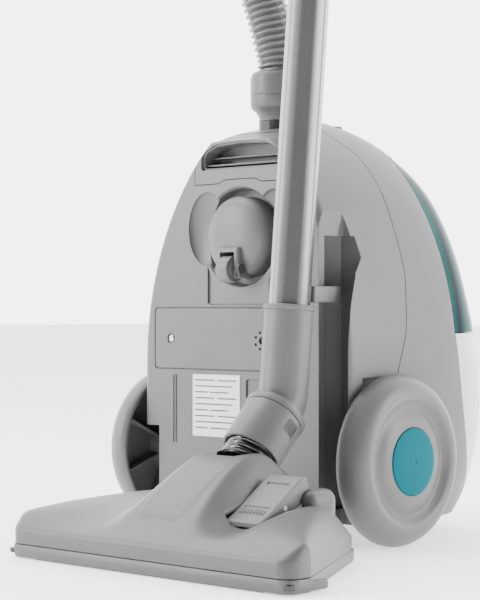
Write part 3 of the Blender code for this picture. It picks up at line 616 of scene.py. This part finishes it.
def casing_tools(grow):
    tools = []
    for sign in (-1, 1):
        low, high = sorted((sign * (POCKET_X - grow), sign * 160 * MM))
        tools.append(prism(wheel_pocket(grow), low, high, "X"))
    groove = [(88, -70, -1, 0), (88, -20, -1, 1), (103, -20, 1, 1), (109, -28, 1, 1),
              (116, -44, 1, 0), (121, -70, 1, 0)]
    tools.append(prism(fillet([(*p, 3 * MM) for p in grown(groove, grow)]), 15 * MM, 320 * MM))
    undercut = [(90, -43, 0, -1), (73, -41, -1, -1), (73, -28, -1, 1), (84, -16, -1, 1),
                (104, -14, 1, 1), (108, -26, 1, 1), (100, -43, 0, -1)]
    tools.append(prism(grown(undercut, grow), 30 * MM - grow, 258 * MM + grow))
    ring = CASTER_RING + grow
    tools.append(revolve([(0, 0), (ring - 1.5 * MM, 0), (ring, 1.5 * MM), (ring, 12.6 * MM),
                          (ring + 1.6 * MM, 14.4 * MM), (ring + 1.6 * MM, 40 * MM),
                          (0, 40 * MM)], (0, -36 * MM + grow, CASTER_Z), (0, -1, 0)))
    for sign in (-1, 1):
        tools.append(ellipsoid(Vector((sign * 39, -50, 267)) * MM,
                               Vector((22 + grow / MM, 7 + grow / MM, 32 + grow / MM)) * MM))
    return tools


def rod(start, end, radius, steps=64):
    start, end = Vector(start), Vector(end)
    length = (end - start).length
    return revolve([(0, 0), (radius, 0), (radius, length), (0, length)], start, end - start, steps)


def ellipsoid(centre, radii, steps=48):
    rows = steps // 2
    outline = [(max(0.0, math.sin(math.pi * i / rows)), -math.cos(math.pi * i / rows))
               for i in range(rows + 1)]
    outline[0], outline[-1] = (0, -1), (0, 1)
    mesh = revolve(outline, steps=steps)
    mesh.transform(Matrix.Translation(Vector(centre)) @ Matrix.Diagonal((*radii, 1)))
    return mesh


def mm_block(low, high, bevel=0.0, segments=3):
    return block(Vector(low) * MM, Vector(high) * MM, bevel * MM, segments)


outer = combined(casing(), casing_tools(0))
shell = combined(outer, [combined(casing(WALL), casing_tools(WALL))])

front_side = prism([(-90 * MM, 0), (15 * MM - LINE, 0)] + [(y - LINE, z) for y, z in SEAM]
                   + [(-90 * MM, 370 * MM)], -170 * MM, 170 * MM, "X")
back_side = prism([(260 * MM, 0), (15 * MM + LINE, 0)] + [(y + LINE, z) for y, z in SEAM]
                  + [(260 * MM, 370 * MM)], -170 * MM, 170 * MM, "X")


def cup_region(shrink):
    edge, low, high = COVER_EDGE_Y + shrink, COVER_SPLIT_Z + shrink, CUP_TOP_Z - shrink
    return prism([(edge, low), (260 * MM, low), (260 * MM, high), (edge, high)],
                 -130 * MM, 130 * MM, "X")


def rear_region(shrink):
    low, high = 30 * MM + shrink, COVER_SPLIT_Z - shrink
    return prism([(134 * MM + shrink, low), (260 * MM, low), (260 * MM, high),
                  (COVER_EDGE_Y + shrink, high), (114.5 * MM + shrink, 117 * MM)],
                 -130 * MM, 130 * MM, "X")


# ------------------------------------------------------------------ base shell
def panel_outline(grow, radius=4.0):
    return rounded_box(-103 - grow, 144.5 - grow, 72 + grow, 198 + grow, radius, 6)


def hump_line(z, rise):
    """The front cover's lower edge: level, with a shallow hump in the middle."""
    points = []
    for i in range(33):
        x = -53 + 106 * i / 32
        lift = rise / (1 + math.exp((abs(x) - 21) * 0.9))
        points.append((x * MM, (z + lift) * MM))
    return points


def front_cover_outline(grow):
    half, top = (53 + grow) * MM, (348.7 + grow) * MM
    low = hump_line(306 - grow, 3.2)
    low[0], low[-1] = (-half, low[0][1]), (half, low[-1][1])
    return low + [(half, top), (-half, top)]


base = combined(shell, [front_side], "INTERSECT")
base_cuts = [
    prism(front_cover_outline(0.7), -70 * MM, -22 * MM, "Y"),
    prism(panel_outline(0.7), -60 * MM, -48.4 * MM, "Y"),
    rod((INLET.x, INLET.y, 300 * MM), (INLET.x, INLET.y, 380 * MM), 19.2 * MM),
    rod((0, -60 * MM, CASTER_Z), (0, -20 * MM, CASTER_Z), 6.4 * MM),
    rod((-110 * MM, 0, AXLE_Z), (110 * MM, 0, AXLE_Z), 5.3 * MM),
    mm_block((-35, -60, 200.3), (79, -49.1, 201.6), 0.2),
    prism(scaled(fillet([(7, 120, 2.5), (24, 120, 2.5), (24, 137, 2.5), (7, 137, 2.5)])),
          -60 * MM, -48.6 * MM, "Y"),
]
for sign in (-1, 1):
    wedge = [(sign * 38.3, 202), (sign * 33, 202), (sign * 33, 221), (sign * 35, 228),
             (sign * 38.3, 235)]
    base_cuts.append(prism(scaled(wedge), -60 * MM, -48.1 * MM, "Y"))
base = combined(base, base_cuts)
ridges = [mm_block((x - 0.6, -50.9, 79), (x + 0.6, -48.5, 139), 0.3) for x in (-80, -77)]
piece("base_casing", joined(base, *ridges), GREY, replaces=["base_shell"])

upper = combined(shell, [back_side], "INTERSECT")
upper = combined(upper, [cup_region(-LINE), rear_region(-LINE),
                         rod((0, 76 * MM, 330 * MM), (0, 76 * MM, 380 * MM), 8.6 * MM)])
piece("upper_casing", upper, GREY, replaces=["upper_shell"])

cup_band = combined(shell, [cup_region(LINE)], "INTERSECT")
piece("dust_window", cup_band, TINT, replaces=["dust_container"])

BUTTON_Z, BUTTON_X = 112 * MM, 36 * MM
OUTLET = Vector((-62, 160, 58)) * MM
rear = combined(shell, [rear_region(LINE)], "INTERSECT")
rear_cuts = [prism(rounded_box(-40, 45, 40, 75, 4), 150 * MM, 260 * MM, "Y"),
             rod(OUTLET, OUTLET + Vector((0, 0.06, 0)), 7.3 * MM)]
rear_cuts += [rod((x * BUTTON_X, 150 * MM, BUTTON_Z), (x * BUTTON_X, 260 * MM, BUTTON_Z),
                  11.5 * MM) for x in (-1, 1)]
piece("rear_casing", combined(rear, rear_cuts), WHITE, replaces=["rear_cover"])
grille = combined(shell, [prism(rounded_box(-39.5, 45.5, 39.5, 74.5, 4), 150 * MM, 260 * MM,
                                "Y")], "INTERSECT")
grille = combined(grille, [mm_block((-36, 150, 48.4 + 5 * i), (36, 260, 51.6 + 5 * i))
                           for i in range(5)])
piece("exhaust_slats", grille, BLACK, replaces=["exhaust_grille"])

# ------------------------------------------------------------------ front cover and its grip
cover = combined(outer, [prism(front_cover_outline(0), -70 * MM, -22.3 * MM, "Y")], "INTERSECT")
arch = [(-46, 318, 3), (46, 318, 3), (46, 333, 6), (30, 340, 12), (0, 342, 40), (-30, 340, 12),
        (-46, 333, 6)]
inner_arch = [(u * 0.955, 330 + (v - 330) * 0.86, *r) for u, v, *r in arch]
cover = combined(cover, [prism(fillet(scaled(arch), 6), -70 * MM, -47.2 * MM, "Y"),
                         prism(fillet(scaled(inner_arch), 6), -70 * MM, -27 * MM, "Y")])
ledges = [mm_block((-43.5, -44, 321.6), (43.5, -27.5, 323.2), 0.5),
          mm_block((-43.5, -38, 328.4), (43.5, -27.5, 329.8), 0.5)]
piece("grip_cover", joined(cover, *ledges), GREY, replaces=["front_cover"])

# ------------------------------------------------------------------ service panel and label
def slab(outline_low, outline_high, low, high, edge):
    """A plate along Y with a small chamfer round its outer face."""
    rings = [[(u, high, v) for u, v in outline_low], [(u, low + edge, v) for u, v in outline_low],
             [(u, low, v) for u, v in outline_high]]
    return loft(rings)


panel = slab(panel_outline(0), panel_outline(-0.7, 3.5), -50.2 * MM, -48.7 * MM, 0.6 * MM)
vents = [(25, 170, 3.0)] + [(25 + 7.2 * math.cos(a), 170 + 7.2 * math.sin(a), 1.3)
                            for a in [2 * math.pi * k / 7 for k in range(7)]]
panel = combined(panel, [rod((x * MM, -60 * MM, z * MM), (x * MM, -40 * MM, z * MM), r * MM, 32)
                         for x, z, r in vents + [(-83, 171, 4.6)]])
well = revolve([(0, 0), (4.9 * MM, 0), (4.9 * MM, 1.4 * MM), (4.5 * MM, 1.4 * MM),
                (4.5 * MM, 0.4 * MM), (0, 0.4 * MM)], (-83 * MM, -48.6 * MM, 171 * MM), (0, -1, 0))
piece("panel_plate", joined(panel, well), GREY, replaces=["service_panel"])
screw = revolve(scaled([(0, 0), (3, 0), (3, 0.7), (2.4, 1.15), (0, 1.3)]),
                (-83 * MM, -49.05 * MM, 171 * MM), (0, -1, 0))
screw = combined(screw, [mm_block((-85.2, -52, 170.6), (-80.8, -49.8, 171.4)),
                         mm_block((-83.4, -52, 168.8), (-82.6, -49.8, 173.2))])
piece("panel_screw", screw, STEEL, replaces=["service_screw"])
label = prism(rounded_box(-56, 86, 0, 140, 1.2), -50.35 * MM, -50.02 * MM, "Y")
piece("rating_plate", label, LABEL, replaces=["rating_label"])
bars = []
for row in range(9):
    z = 135 - 5.2 * row
    for start, end in (((-53, -30), (-26, -4)), ((-53, -8),), ((-53, -38), (-35, -14)))[row % 3]:
        bars.append(mm_block((start, -50.45, z - 0.6), (end, -50.3, z + 0.6)))
piece("rating_bars", joined(*bars), INK, node="rating_label")

# ------------------------------------------------------------------ small things on the casing
button = revolve(scaled([(0, 0), (8, 0), (8, 14.6), (7.6, 15.5), (6.6, 16), (0, 16)]),
                 (0, 76 * MM, 347 * MM))
piece("cup_button", button, DARK, replaces=["release_button"])
for name, x in (("power", BUTTON_X), ("rewind", -BUTTON_X)):
    knob = revolve(scaled([(0, 0), (11, 0), (11, 14.4), (10.4, 15.6), (9, 16.4), (6, 16),
                           (0, 15.6)]), (x, 181 * MM, BUTTON_Z), (0, 1, 0))
    piece(f"{name}_knob", knob, DARK, replaces=[f"{name}_button"])
gland = revolve(scaled([(4, 0), (7, 0), (7, 15), (6.6, 16.4), (5.6, 17), (4.6, 16.4), (4, 15)]),
                OUTLET, (0, 1, 0), 48)
piece("cord_gland", gland, BLACK, replaces=["cord_outlet"])
for side, sign in SIDES:
    foot = revolve(scaled([(0, 0), (10.6, 0), (11.6, 0.5), (12, 1.4), (10, 16.7), (0, 16.7)]),
                   (sign * 60 * MM, 108 * MM, 0))
    piece(f"foot_{side}", foot, RUBBER, replaces=[f"rear_foot_{side}"])

# ------------------------------------------------------------------ big wheels
TREAD = smooth_through([(28.6, 147.6), (36, 146.2), (44.3, 142.8), (48, 144.2), (52.7, 147.6),
                        (58, 148.2), (64, 145.4), (68.5, 140.2), (71, 134.5), (71.6, 130),
                        (71.2, 126), (69.5, 122.4)], 6)
TYRE = ([(5.4, 146), (28.3, 146), (28.3, 147.3)] + [tuple(p) for p in TREAD]
        + [(68.6, 121.8), (66.6, 121.8), (65.6, 122.6), (63, 128), (59, 136.4), (56, 137.6),
           (25, 139), (22.6, 138), (22, 136.6), (22, 110), (21.4, 109.2), (20.4, 109), (5.4, 109)])
CAP = [(0, 146.2), (28, 146.2), (28, 147.6), (27.4, 148.3), (25, 148.9), (14, 149.25), (3, 149.4),
       (2.4, 149.0), (0, 148.9)]
for side, sign in SIDES:
    way = (sign, 0, 0)
    wheel = revolve(scaled(TYRE), (0, 0, AXLE_Z), way, 144)
    ribs = []
    for k in range(8):
        rib = mm_block((128, -0.9, 21.5), (138.4, 0.9, 60), 0.3)
        rib.transform(Matrix.Translation((0, 0, AXLE_Z))
                      @ Matrix.Rotation(math.radians(45 * k + 20), 4, "X")
                      @ Matrix.Diagonal((sign, 1, 1, 1)))
        ribs.append(rib)
    piece(f"big_wheel_{side}", joined(wheel, *ribs), WHEEL_GREY, replaces=[f"wheel_{side}"])
    cap = revolve(scaled(CAP), (0, 0, AXLE_Z), way, 96)
    piece(f"wheel_cap_{side}", cap, HUB, replaces=[f"hub_cap_{side}"])

# ------------------------------------------------------------------ caster
dome = smooth_through([(35, 0.5), (34, 3.6), (30.5, 7.4), (24, 10.4), (14, 12.4), (0, 13)], 6)
table = revolve(scaled([(0, -28), (6, -28), (6, -13), (34.6, -13), (35, -12.4)]
                       + [tuple(p) for p in dome]), (0, FACE_Y, CASTER_Z), (0, -1, 0))
table = combined(table, [mm_block((-13, -66.6, 223), (13, -44, 250), 3.2)], "UNION")
table = combined(table, [mm_block((-8.2, -80, 205), (8.2, -45.5, 245.5), 0.6),
                         mm_block((-14, -80, 219), (-9.8, -64.4, 233)),
                         mm_block((9.8, -80, 219), (14, -64.4, 233))])
piece("caster_table", table, GREY, replaces=["caster_turntable"])
CASTER_AXLE = Vector((0, -63, 231)) * MM
tread = revolve(scaled([(1.85, -7.3), (6.6, -7.3), (7.2, -6.6), (10.4, -6.6), (11.2, -6),
                        (11.5, -4.6), (11.5, 4.6), (11.2, 6), (10.4, 6.6), (7.2, 6.6),
                        (6.6, 7.3), (1.85, 7.3)]), CASTER_AXLE, (1, 0, 0), 64)
piece("caster_tread", tread, WHEEL_GREY, replaces=["caster_wheel"])
for side, sign in SIDES:
    ends = revolve(scaled([(0, 8.3), (5, 8.3), (5, 13.4), (4.2, 14.2), (0, 14.4)]),
                   CASTER_AXLE, (sign, 0, 0), 6)
    piece(f"caster_axle_cap_{side}", ends, DARK, node="caster_turntable")

# ------------------------------------------------------------------ hose cuff and handle
swivel = smooth_through([(18.3, 365), (20.5, 369), (25, 373.5), (26, 378)], 6)
cuff = revolve(scaled([(15.2, 361.8), (18.3, 361.8)] + [tuple(p) for p in swivel]
                      + [(26, 383), (25.3, 383.4), (25.3, 384.4), (26, 384.8), (26, 398),
                         (25.7, 400.5), (24.8, 402.8), (23.6, 404.2), (22, 405), (15.2, 405)]),
               (INLET.x, INLET.y, 0))
piece("swivel_cuff", cuff, HEAD_GREY, replaces=["hose_cuff"])
MOUTH_CUFF = [(15, 1.2), (23, 1.2), (23.8, 2), (24, 5), (24, 12), (23.4, 12.4), (23.4, 13.4),
              (24, 13.8), (24, 30), (23.6, 33), (22.8, 35.2), (21.6, 36), (15, 36)]
piece("mouth_cuff", revolve(scaled(MOUTH_CUFF), MOUTH, MOUTH_DIR), HEAD_GREY,
      replaces=["handle_cuff"])
grip_line = smooth_through([tuple(p) for p in (GRIP_START, wand_point(0.50), GRIP_BEND,
                                               GRIP_END, MOUTH)], 16)
swell = [19 * MM - 0.9 * MM * math.sin(math.pi * i / (len(grip_line) - 1)) ** 2
         for i in range(len(grip_line))]
grip = tube(grip_line, swell, 48, bore=15.4 * MM)
piece("curved_grip", grip, HEAD_GREY, replaces=["handle_grip"])
SLIDER_AT = wand_point(0.51) + Vector((0, -21.2 * MM, 0))
slider = joined(mm_block((-7, -1.8, -9), (7, 1.8, 9), 1.0),
                *[mm_block((-5, -2.6, z - 0.5), (5, -1.2, z + 0.5), 0.3) for z in (-4, 0, 4)])
slider.transform(Matrix.Translation(SLIDER_AT) @ Matrix.Rotation(-WAND_LEAN, 4, "X"))
piece("suction_slide_knob", slider, BLACK, replaces=["suction_slider"])

# ------------------------------------------------------------------ wand
side_way = Vector((1, 0, 0))
WAND_FRAME = Matrix.Translation(WAND_BASE) @ Matrix(
    (side_way, WAND_AXIS.cross(side_way), WAND_AXIS)).transposed().to_4x4()
CORNER = 17.2 * MM
decagon = [(CORNER * math.cos(math.radians(36 * k - 47.5 + 18)),
            CORNER * math.sin(math.radians(36 * k - 47.5 + 18)), 4 * MM) for k in range(10)]
pipe = combined(prism(fillet(decagon, 3), 0.3 * MM, 400 * MM),
                [rod((0, 0, -0.01), (0, 0, 0.5), 15.5 * MM)])
pipe.transform(WAND_FRAME)
piece("faceted_tube", pipe, TUBE_GREY, replaces=["lower_tube"])
collar = revolve(scaled([(14.6, 400.6), (19.4, 400.6), (20, 401.2), (21.5, 404.4), (21.5, 408),
                         (21, 408.5), (21, 409.5), (21.5, 410), (21.5, 438), (21.2, 441),
                         (20.2, 445), (19.2, 446), (14.6, 446)]), WAND_BASE, WAND_AXIS)
piece("tube_collar", collar, DARK, replaces=["telescope_collar"])
BUTTON_AT = wand_point(0.421) + Vector((0, -24.6 * MM, 0))
latch = joined(mm_block((-6, -2.6, -10), (6, 2.6, 10), 1.2),
               *[mm_block((-4.4, -3.2, z - 0.5), (4.4, -2, z + 0.5), 0.3) for z in (-5, -2, 1, 4)])
latch.transform(Matrix.Translation(BUTTON_AT) @ Matrix.Rotation(-WAND_LEAN, 4, "X"))
piece("tube_latch_knob", latch, BLACK, replaces=["telescope_button"])
piece("parking_lug", mm_block((93, -68.5, 202.5), (99, -34, 216), 1.4), GREY,
      replaces=["parking_hook"])

# ------------------------------------------------------------------ elbow, neck and bellows
ELBOW_LINE = smooth_through([tuple(p) for p in (
    wand_point(-0.0005), wand_point(-0.028), wand_point(-0.055), BEND + Vector((0, 1.5, 6)) * MM,
    NECK_START - NECK_DIR * 3 * MM, NECK_START)], 12)
bent = tube(ELBOW_LINE, 20 * MM, 64)
lip = revolve(scaled([(0, -4.4), (20, -4.4), (20.8, -4), (21.2, -3.2), (21.2, -0.8), (20.6, 0),
                      (0, 0)]), WAND_BASE, WAND_AXIS)
flange = revolve(scaled([(0, -1.2), (24.8, -1.2), (25.7, -0.7), (26, 0.2), (26, 3.8), (25.4, 4.8),
                         (0, 5)]), NECK_START, NECK_DIR)
bent = combined(bent, [lip, flange], "UNION")
BORE_LINE = smooth_through([tuple(p) for p in (
    wand_point(0.02), wand_point(-0.028), wand_point(-0.055), BEND + Vector((0, 1.5, 6)) * MM,
    NECK_START, NECK_START + NECK_DIR * 0.02)], 8)
bent = combined(bent, [tube(BORE_LINE, 15.5 * MM, 48)])
piece("elbow_pipe", bent, GREY, replaces=["elbow"])
sleeve = revolve(scaled([(16, 5.3), (24.9, 5.3), (25.5, 6), (25.1, 10), (25, 42.6), (24.4, 43.6),
                         (23.4, 44), (22.2, 43.7), (21.4, 42.8), (21.4, 28), (16, 26)]),
                 NECK_START, NECK_DIR)
across = NECK_DIR.cross(Vector((1, 0, 0))).normalized()
window = mm_block((18, -6.5, 9.5), (40, 6.5, 21), 1.0)
window.transform(Matrix.Translation(NECK_START) @ Matrix(
    (Vector((1, 0, 0)), -across, NECK_DIR)).transposed().to_4x4())
sleeve = combined(sleeve, [window])
piece("neck_tube", sleeve, GREY, replaces=["neck_sleeve"])
folds = [(14, 29), (19, 29)]
for i in range(5):
    low = 31 + 5.2 * i
    folds += [(18.3, low - 1.1), (20.3, low + 0.2), (20.9, low + 1.2), (20.9, low + 1.9),
              (20.3, low + 2.9), (18.3, low + 4.1)]
folds += [(19.6, 58), (14, 58)]
gaiter = revolve(scaled(folds), NECK_START, NECK_DIR, 96)
gaiter = piece("ribbed_gaiter", gaiter, GLOSS_BLACK, replaces=["bellows"], body=False)
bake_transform(gaiter)

# ------------------------------------------------------------------ floor head
HEAD_HALF = 148.0
HEAD_FRONT, HEAD_REAR = -256.5, -92.0
REAR_HALF = 73.0
CORNER_ROUND = 13.0
BAND_TOP, BAND_GAP = 11.2, 0.7
FRONT_CREASE, CREST = 23.5, 54.0    # heights of the top's front edge and of its highest line
HUMP_U, HUMP_RISE = -3.0, 31.0      # the hump over the neck: its middle, and what it adds
PANEL_U, PANEL_STEP = -5.0, 1.3     # the raised panel on the hump, and its step up
PANEL_LOW, PANEL_HIGH = 0.14, 0.60  # its ends, as v
PANEL_CORNER, PANEL_SLOPE = 10, 1.6
V_LENGTH = 164                      # millimetres from v = 0 to v = 1 over the hump
NECK_LIMIT = -58.0                  # the hump's rear slope keeps clear of the neck's mouth
RISE = smooth_through([(0, 23.5), (0.04, 27.5), (0.1, 32.5), (0.2, 39.5), (0.3, 45), (0.4, 49),
                       (0.5, 52), (0.6, 53.8), (0.68, 54), (0.76, 52.5), (0.83, 48.5),
                       (0.88, 43), (0.94, 34), (1, 25)], 8)


def ease(value):
    value = max(0.0, min(1.0, value))
    return value * value * (3 - 2 * value)


def head_front(u):
    over = max(0.0, abs(u) - (HEAD_HALF - CORNER_ROUND))
    return HEAD_FRONT + CORNER_ROUND - math.sqrt(max(0.0, CORNER_ROUND ** 2 - over ** 2))


def head_rear(u):
    wide = abs(u)
    bend = 8.0
    over = 0.5 * ((wide - REAR_HALF) + math.sqrt((wide - REAR_HALF) ** 2 + bend ** 2))
    return HEAD_REAR - over * 145 / 75 + 0.4 * bend


def head_height(u, v):
    """Height of the head's top at u mm from its middle and v of the way to its rear edge."""
    wide = min(1.0, abs(u) / HEAD_HALF)
    crest = CREST - 19 * wide ** 3
    z = FRONT_CREASE + (float(np.interp(v, RISE[:, 0], RISE[:, 1])) - FRONT_CREASE) \
        * (crest - FRONT_CREASE) / (CREST - FRONT_CREASE)
    spread = 24 + 30 * (1 - ease(v / 0.5)) * 0.25
    edge = (abs(u - HUMP_U) - spread) / (26 if u > HUMP_U else 24)
    z += (HUMP_RISE * ease((v + 0.02) / 0.66) * (1 - ease(edge))
          * (1 - 0.35 * ease((v - 0.8) / 0.2)))
    if 26 < u < 90:                                   # hollow between the hump and the pedal
        z -= 9.0 * math.sin(math.pi * (u - 26) / 64) ** 2 * ease((v - 0.05) / 0.25)
    side = 25 - 5 * v - abs(u - PANEL_U)               # inwards from the raised panel's side
    border = min(side / PANEL_SLOPE, (v - PANEL_LOW) / 0.012, (PANEL_HIGH - v) / 0.3)
    corner = max(0.0, PANEL_CORNER - side), max(0.0, PANEL_CORNER - (v - PANEL_LOW) * V_LENGTH)
    if corner[0] and corner[1]:
        border = min(border, (PANEL_CORNER - math.hypot(*corner)) / PANEL_SLOPE)
    return z + PANEL_STEP * ease(border)


def head_section(u, inset, low, fine=96):
    """One slice of the head at u: its outline as (y, z), with the front edge softened."""
    front, rear = head_front(u) + inset, head_rear(u) - inset
    rear = max(rear, front + 6)
    ring = [(front, low), (front, FRONT_CREASE - 1.6 - inset)]
    for i in range(fine + 1):
        v = i / fine
        y = front + (0.3 if not i else 0) + v * (rear - front)
        z = min(head_height(u, v), NECK_LIMIT - y)
        ring.append((y, z - 1.25 * inset - (0.6 if not i else 0)))
    return ring + [(rear, low)]


def head_solid(inset, low, step):
    """The head's upper part as slices a step apart, closer together at its two ends."""
    count = round(2 * HEAD_HALF / step)
    stations = [-HEAD_HALF + 2 * HEAD_HALF * i / count for i in range(count + 1)]
    ends = [HEAD_HALF - d for d in (0.15, 0.5, 1.0)]
    stations = sorted(stations + ends + [-e for e in ends])
    rings = []
    for u in stations:
        drop = 1.6 * ease((abs(u) - HEAD_HALF + 2) / 2)
        side = u - math.copysign(inset, u) if abs(u) > HEAD_HALF - 1.2 else u
        rings.append([(WAND_X + side * MM, y * MM, (z - (drop if z > FRONT_CREASE - 3 else 0)) * MM)
                      for y, z in head_section(u, inset, low)])
    return loft(rings)


def band_ring(inset, z):
    """The outline of the band round the head's foot, at a height."""
    corner = head_rear(HEAD_HALF) - 0.5 * inset
    half, rear_half = HEAD_HALF - inset, REAR_HALF - 0.5 * inset
    outline = fillet([(-half, HEAD_FRONT + inset, CORNER_ROUND - inset),
                      (half, HEAD_FRONT + inset, CORNER_ROUND - inset), (half, corner, 5),
                      (rear_half, HEAD_REAR - inset, 10), (-rear_half, HEAD_REAR - inset, 10),
                      (-half, corner, 5)], 8)
    return [(WAND_X + u * MM, y * MM, z * MM) for u, y in outline]


PEDAL_LOW, PEDAL_HIGH = 128.0, 163.0
housing = head_solid(0, BAND_TOP + BAND_GAP, 1.7)
bulge = mm_block((152, -160, 30), (173, -126, 61), 9, 6)
housing = combined(housing, [bulge], "UNION")
pocket = [(-207, 33), (-207, 60), (-190, 90), (-146, 90), (-146, 33)]
housing = combined(housing, [
    head_solid(2.5, 5, 5.5),
    rod(NECK_START, NECK_START + NECK_DIR * 64 * MM, 22.5 * MM, 96),
    prism(scaled(pocket), (PEDAL_LOW - 0.6) * MM, (PEDAL_HIGH + 0.6) * MM, "X")])
piece("head_upper", housing, HEAD_GREY, replaces=["head_housing"], sharp=50)
lower = loft([band_ring(inset, z) for inset, z in (
    (0.9, 1.2), (0.25, 2.2), (0.0, 4.0), (0.0, 10.6), (0.5, BAND_TOP), (3.0, BAND_TOP),
    (3.0, 15.4))])
lower = combined(lower, [prism([(x, y) for x, y, _ in band_ring(4.2, 0)], -10 * MM, 30 * MM)])
flap = mm_block((229.5, -246, 1.4), (235.3, -214, 8.6), 2.2, 4)
piece("head_skirt", joined(lower, flap), HEAD_GREY, replaces=["head_base"], sharp=40)

# ------------------------------------------------------------------ pedal
wedge = [(-206.6, 36.5), (-206.8, 40.2, 1.0), (-196, 45.6, 14), (-157, 71, 3), (-153, 70.6, 3),
         (-150, 62, 3), (-160, 50), (-178, 42), (-196, 36.5)]
treadle = prism(fillet(scaled(wedge), 5), PEDAL_LOW * MM, PEDAL_HIGH * MM, "X")
bm = bmesh.new()
bm.from_mesh(treadle)
rim = [e for e in bm.edges if len(e.link_faces) == 2
       and sum(abs(f.normal.x) > 0.9 for f in e.link_faces) == 1]
bmesh.ops.bevel(bm, geom=rim, offset=1.2 * MM, segments=3, profile=0.5, affect="EDGES")
bm.to_mesh(treadle)
bm.free()
SLOPE = math.atan2(71 - 45.6, 196 - 157)


def on_pedal(along, low, high, half):
    """A small block on the pedal's slope, along mm up it; high is (half its depth, its top)."""
    wide, top = high
    made = mm_block((-half, -wide, low), (half, wide, top), 0.3)
    at = Vector(((PEDAL_LOW + PEDAL_HIGH) / 2, -196 + along * math.cos(SLOPE),
                 45.6 + along * math.sin(SLOPE))) * MM
    made.transform(Matrix.Translation(at) @ Matrix.Rotation(SLOPE, 4, "X"))
    return made


treadle = combined(treadle, [on_pedal(36, -0.9, (1.4, 3), 11),
                             on_pedal(7.5, -0.7, (1.0, 3), 12.5)])
teeth = []
for k in range(8):
    tooth = on_pedal(1.6, -0.4, (2.6, 0.7), 0.5)
    tooth.transform(Matrix.Translation((3.2 * (k - 3.5) * MM, 0, 0)))
    teeth.append(tooth)
piece("foot_pedal", joined(treadle, *teeth), GREY, replaces=["pedal"])

# ------------------------------------------------------------------ under the head
bristles = []
for k in range(110):
    x = WAND_X + (-109 + 218 * k / 109) * MM
    for y in (-212.6, -209.4):
        bristles.append(block((x - 0.8 * MM, (y - 1.1) * MM, 5 * MM),
                              (x + 0.8 * MM, (y + 1.1) * MM, 17 * MM)))
bristles.append(mm_block((WAND_X / MM - 110, -214, 15), (WAND_X / MM + 110, -208, 20), 0.5))
piece("bristle_row", joined(*bristles), BRISTLE, replaces=["brush_strip"])
for side, sign in SIDES:
    wheel = revolve(scaled([(0, -5), (5.2, -5), (5.8, -4.6), (6, -3.8), (6, 3.8), (5.8, 4.6),
                            (5.2, 5), (0, 5)]), (WAND_X + sign * 52 * MM, -110 * MM, 6 * MM),
                    (1, 0, 0), 48)
    piece(f"head_wheel_{side}", wheel, DARK, replaces=[f"head_roller_{side}"])

# ------------------------------------------------------------------ CAD pieces that stay
KEPT = {"exhaust_filter": FILTER, "hose_inlet": BLACK, "motor": STEEL, "fan_housing": BLACK,
        "motor_seal": RUBBER, "motor_filter": FILTER, "reel_spindle": STEEL, "axle_left": STEEL,
        "axle_right": STEEL, "dust_bin": TINT, "cyclone_filter": FILTER, "cord_reel": DARK,
        "caster_pin": STEEL, "upper_tube": STEEL, "soleplate": BLACK, "felt_strip": FELT,
        "pedal_pin": STEEL}
for name, mat in KEPT.items():
    node = frame["nodes"][name]
    node.data.materials.clear()
    node.data.materials.append(mat)
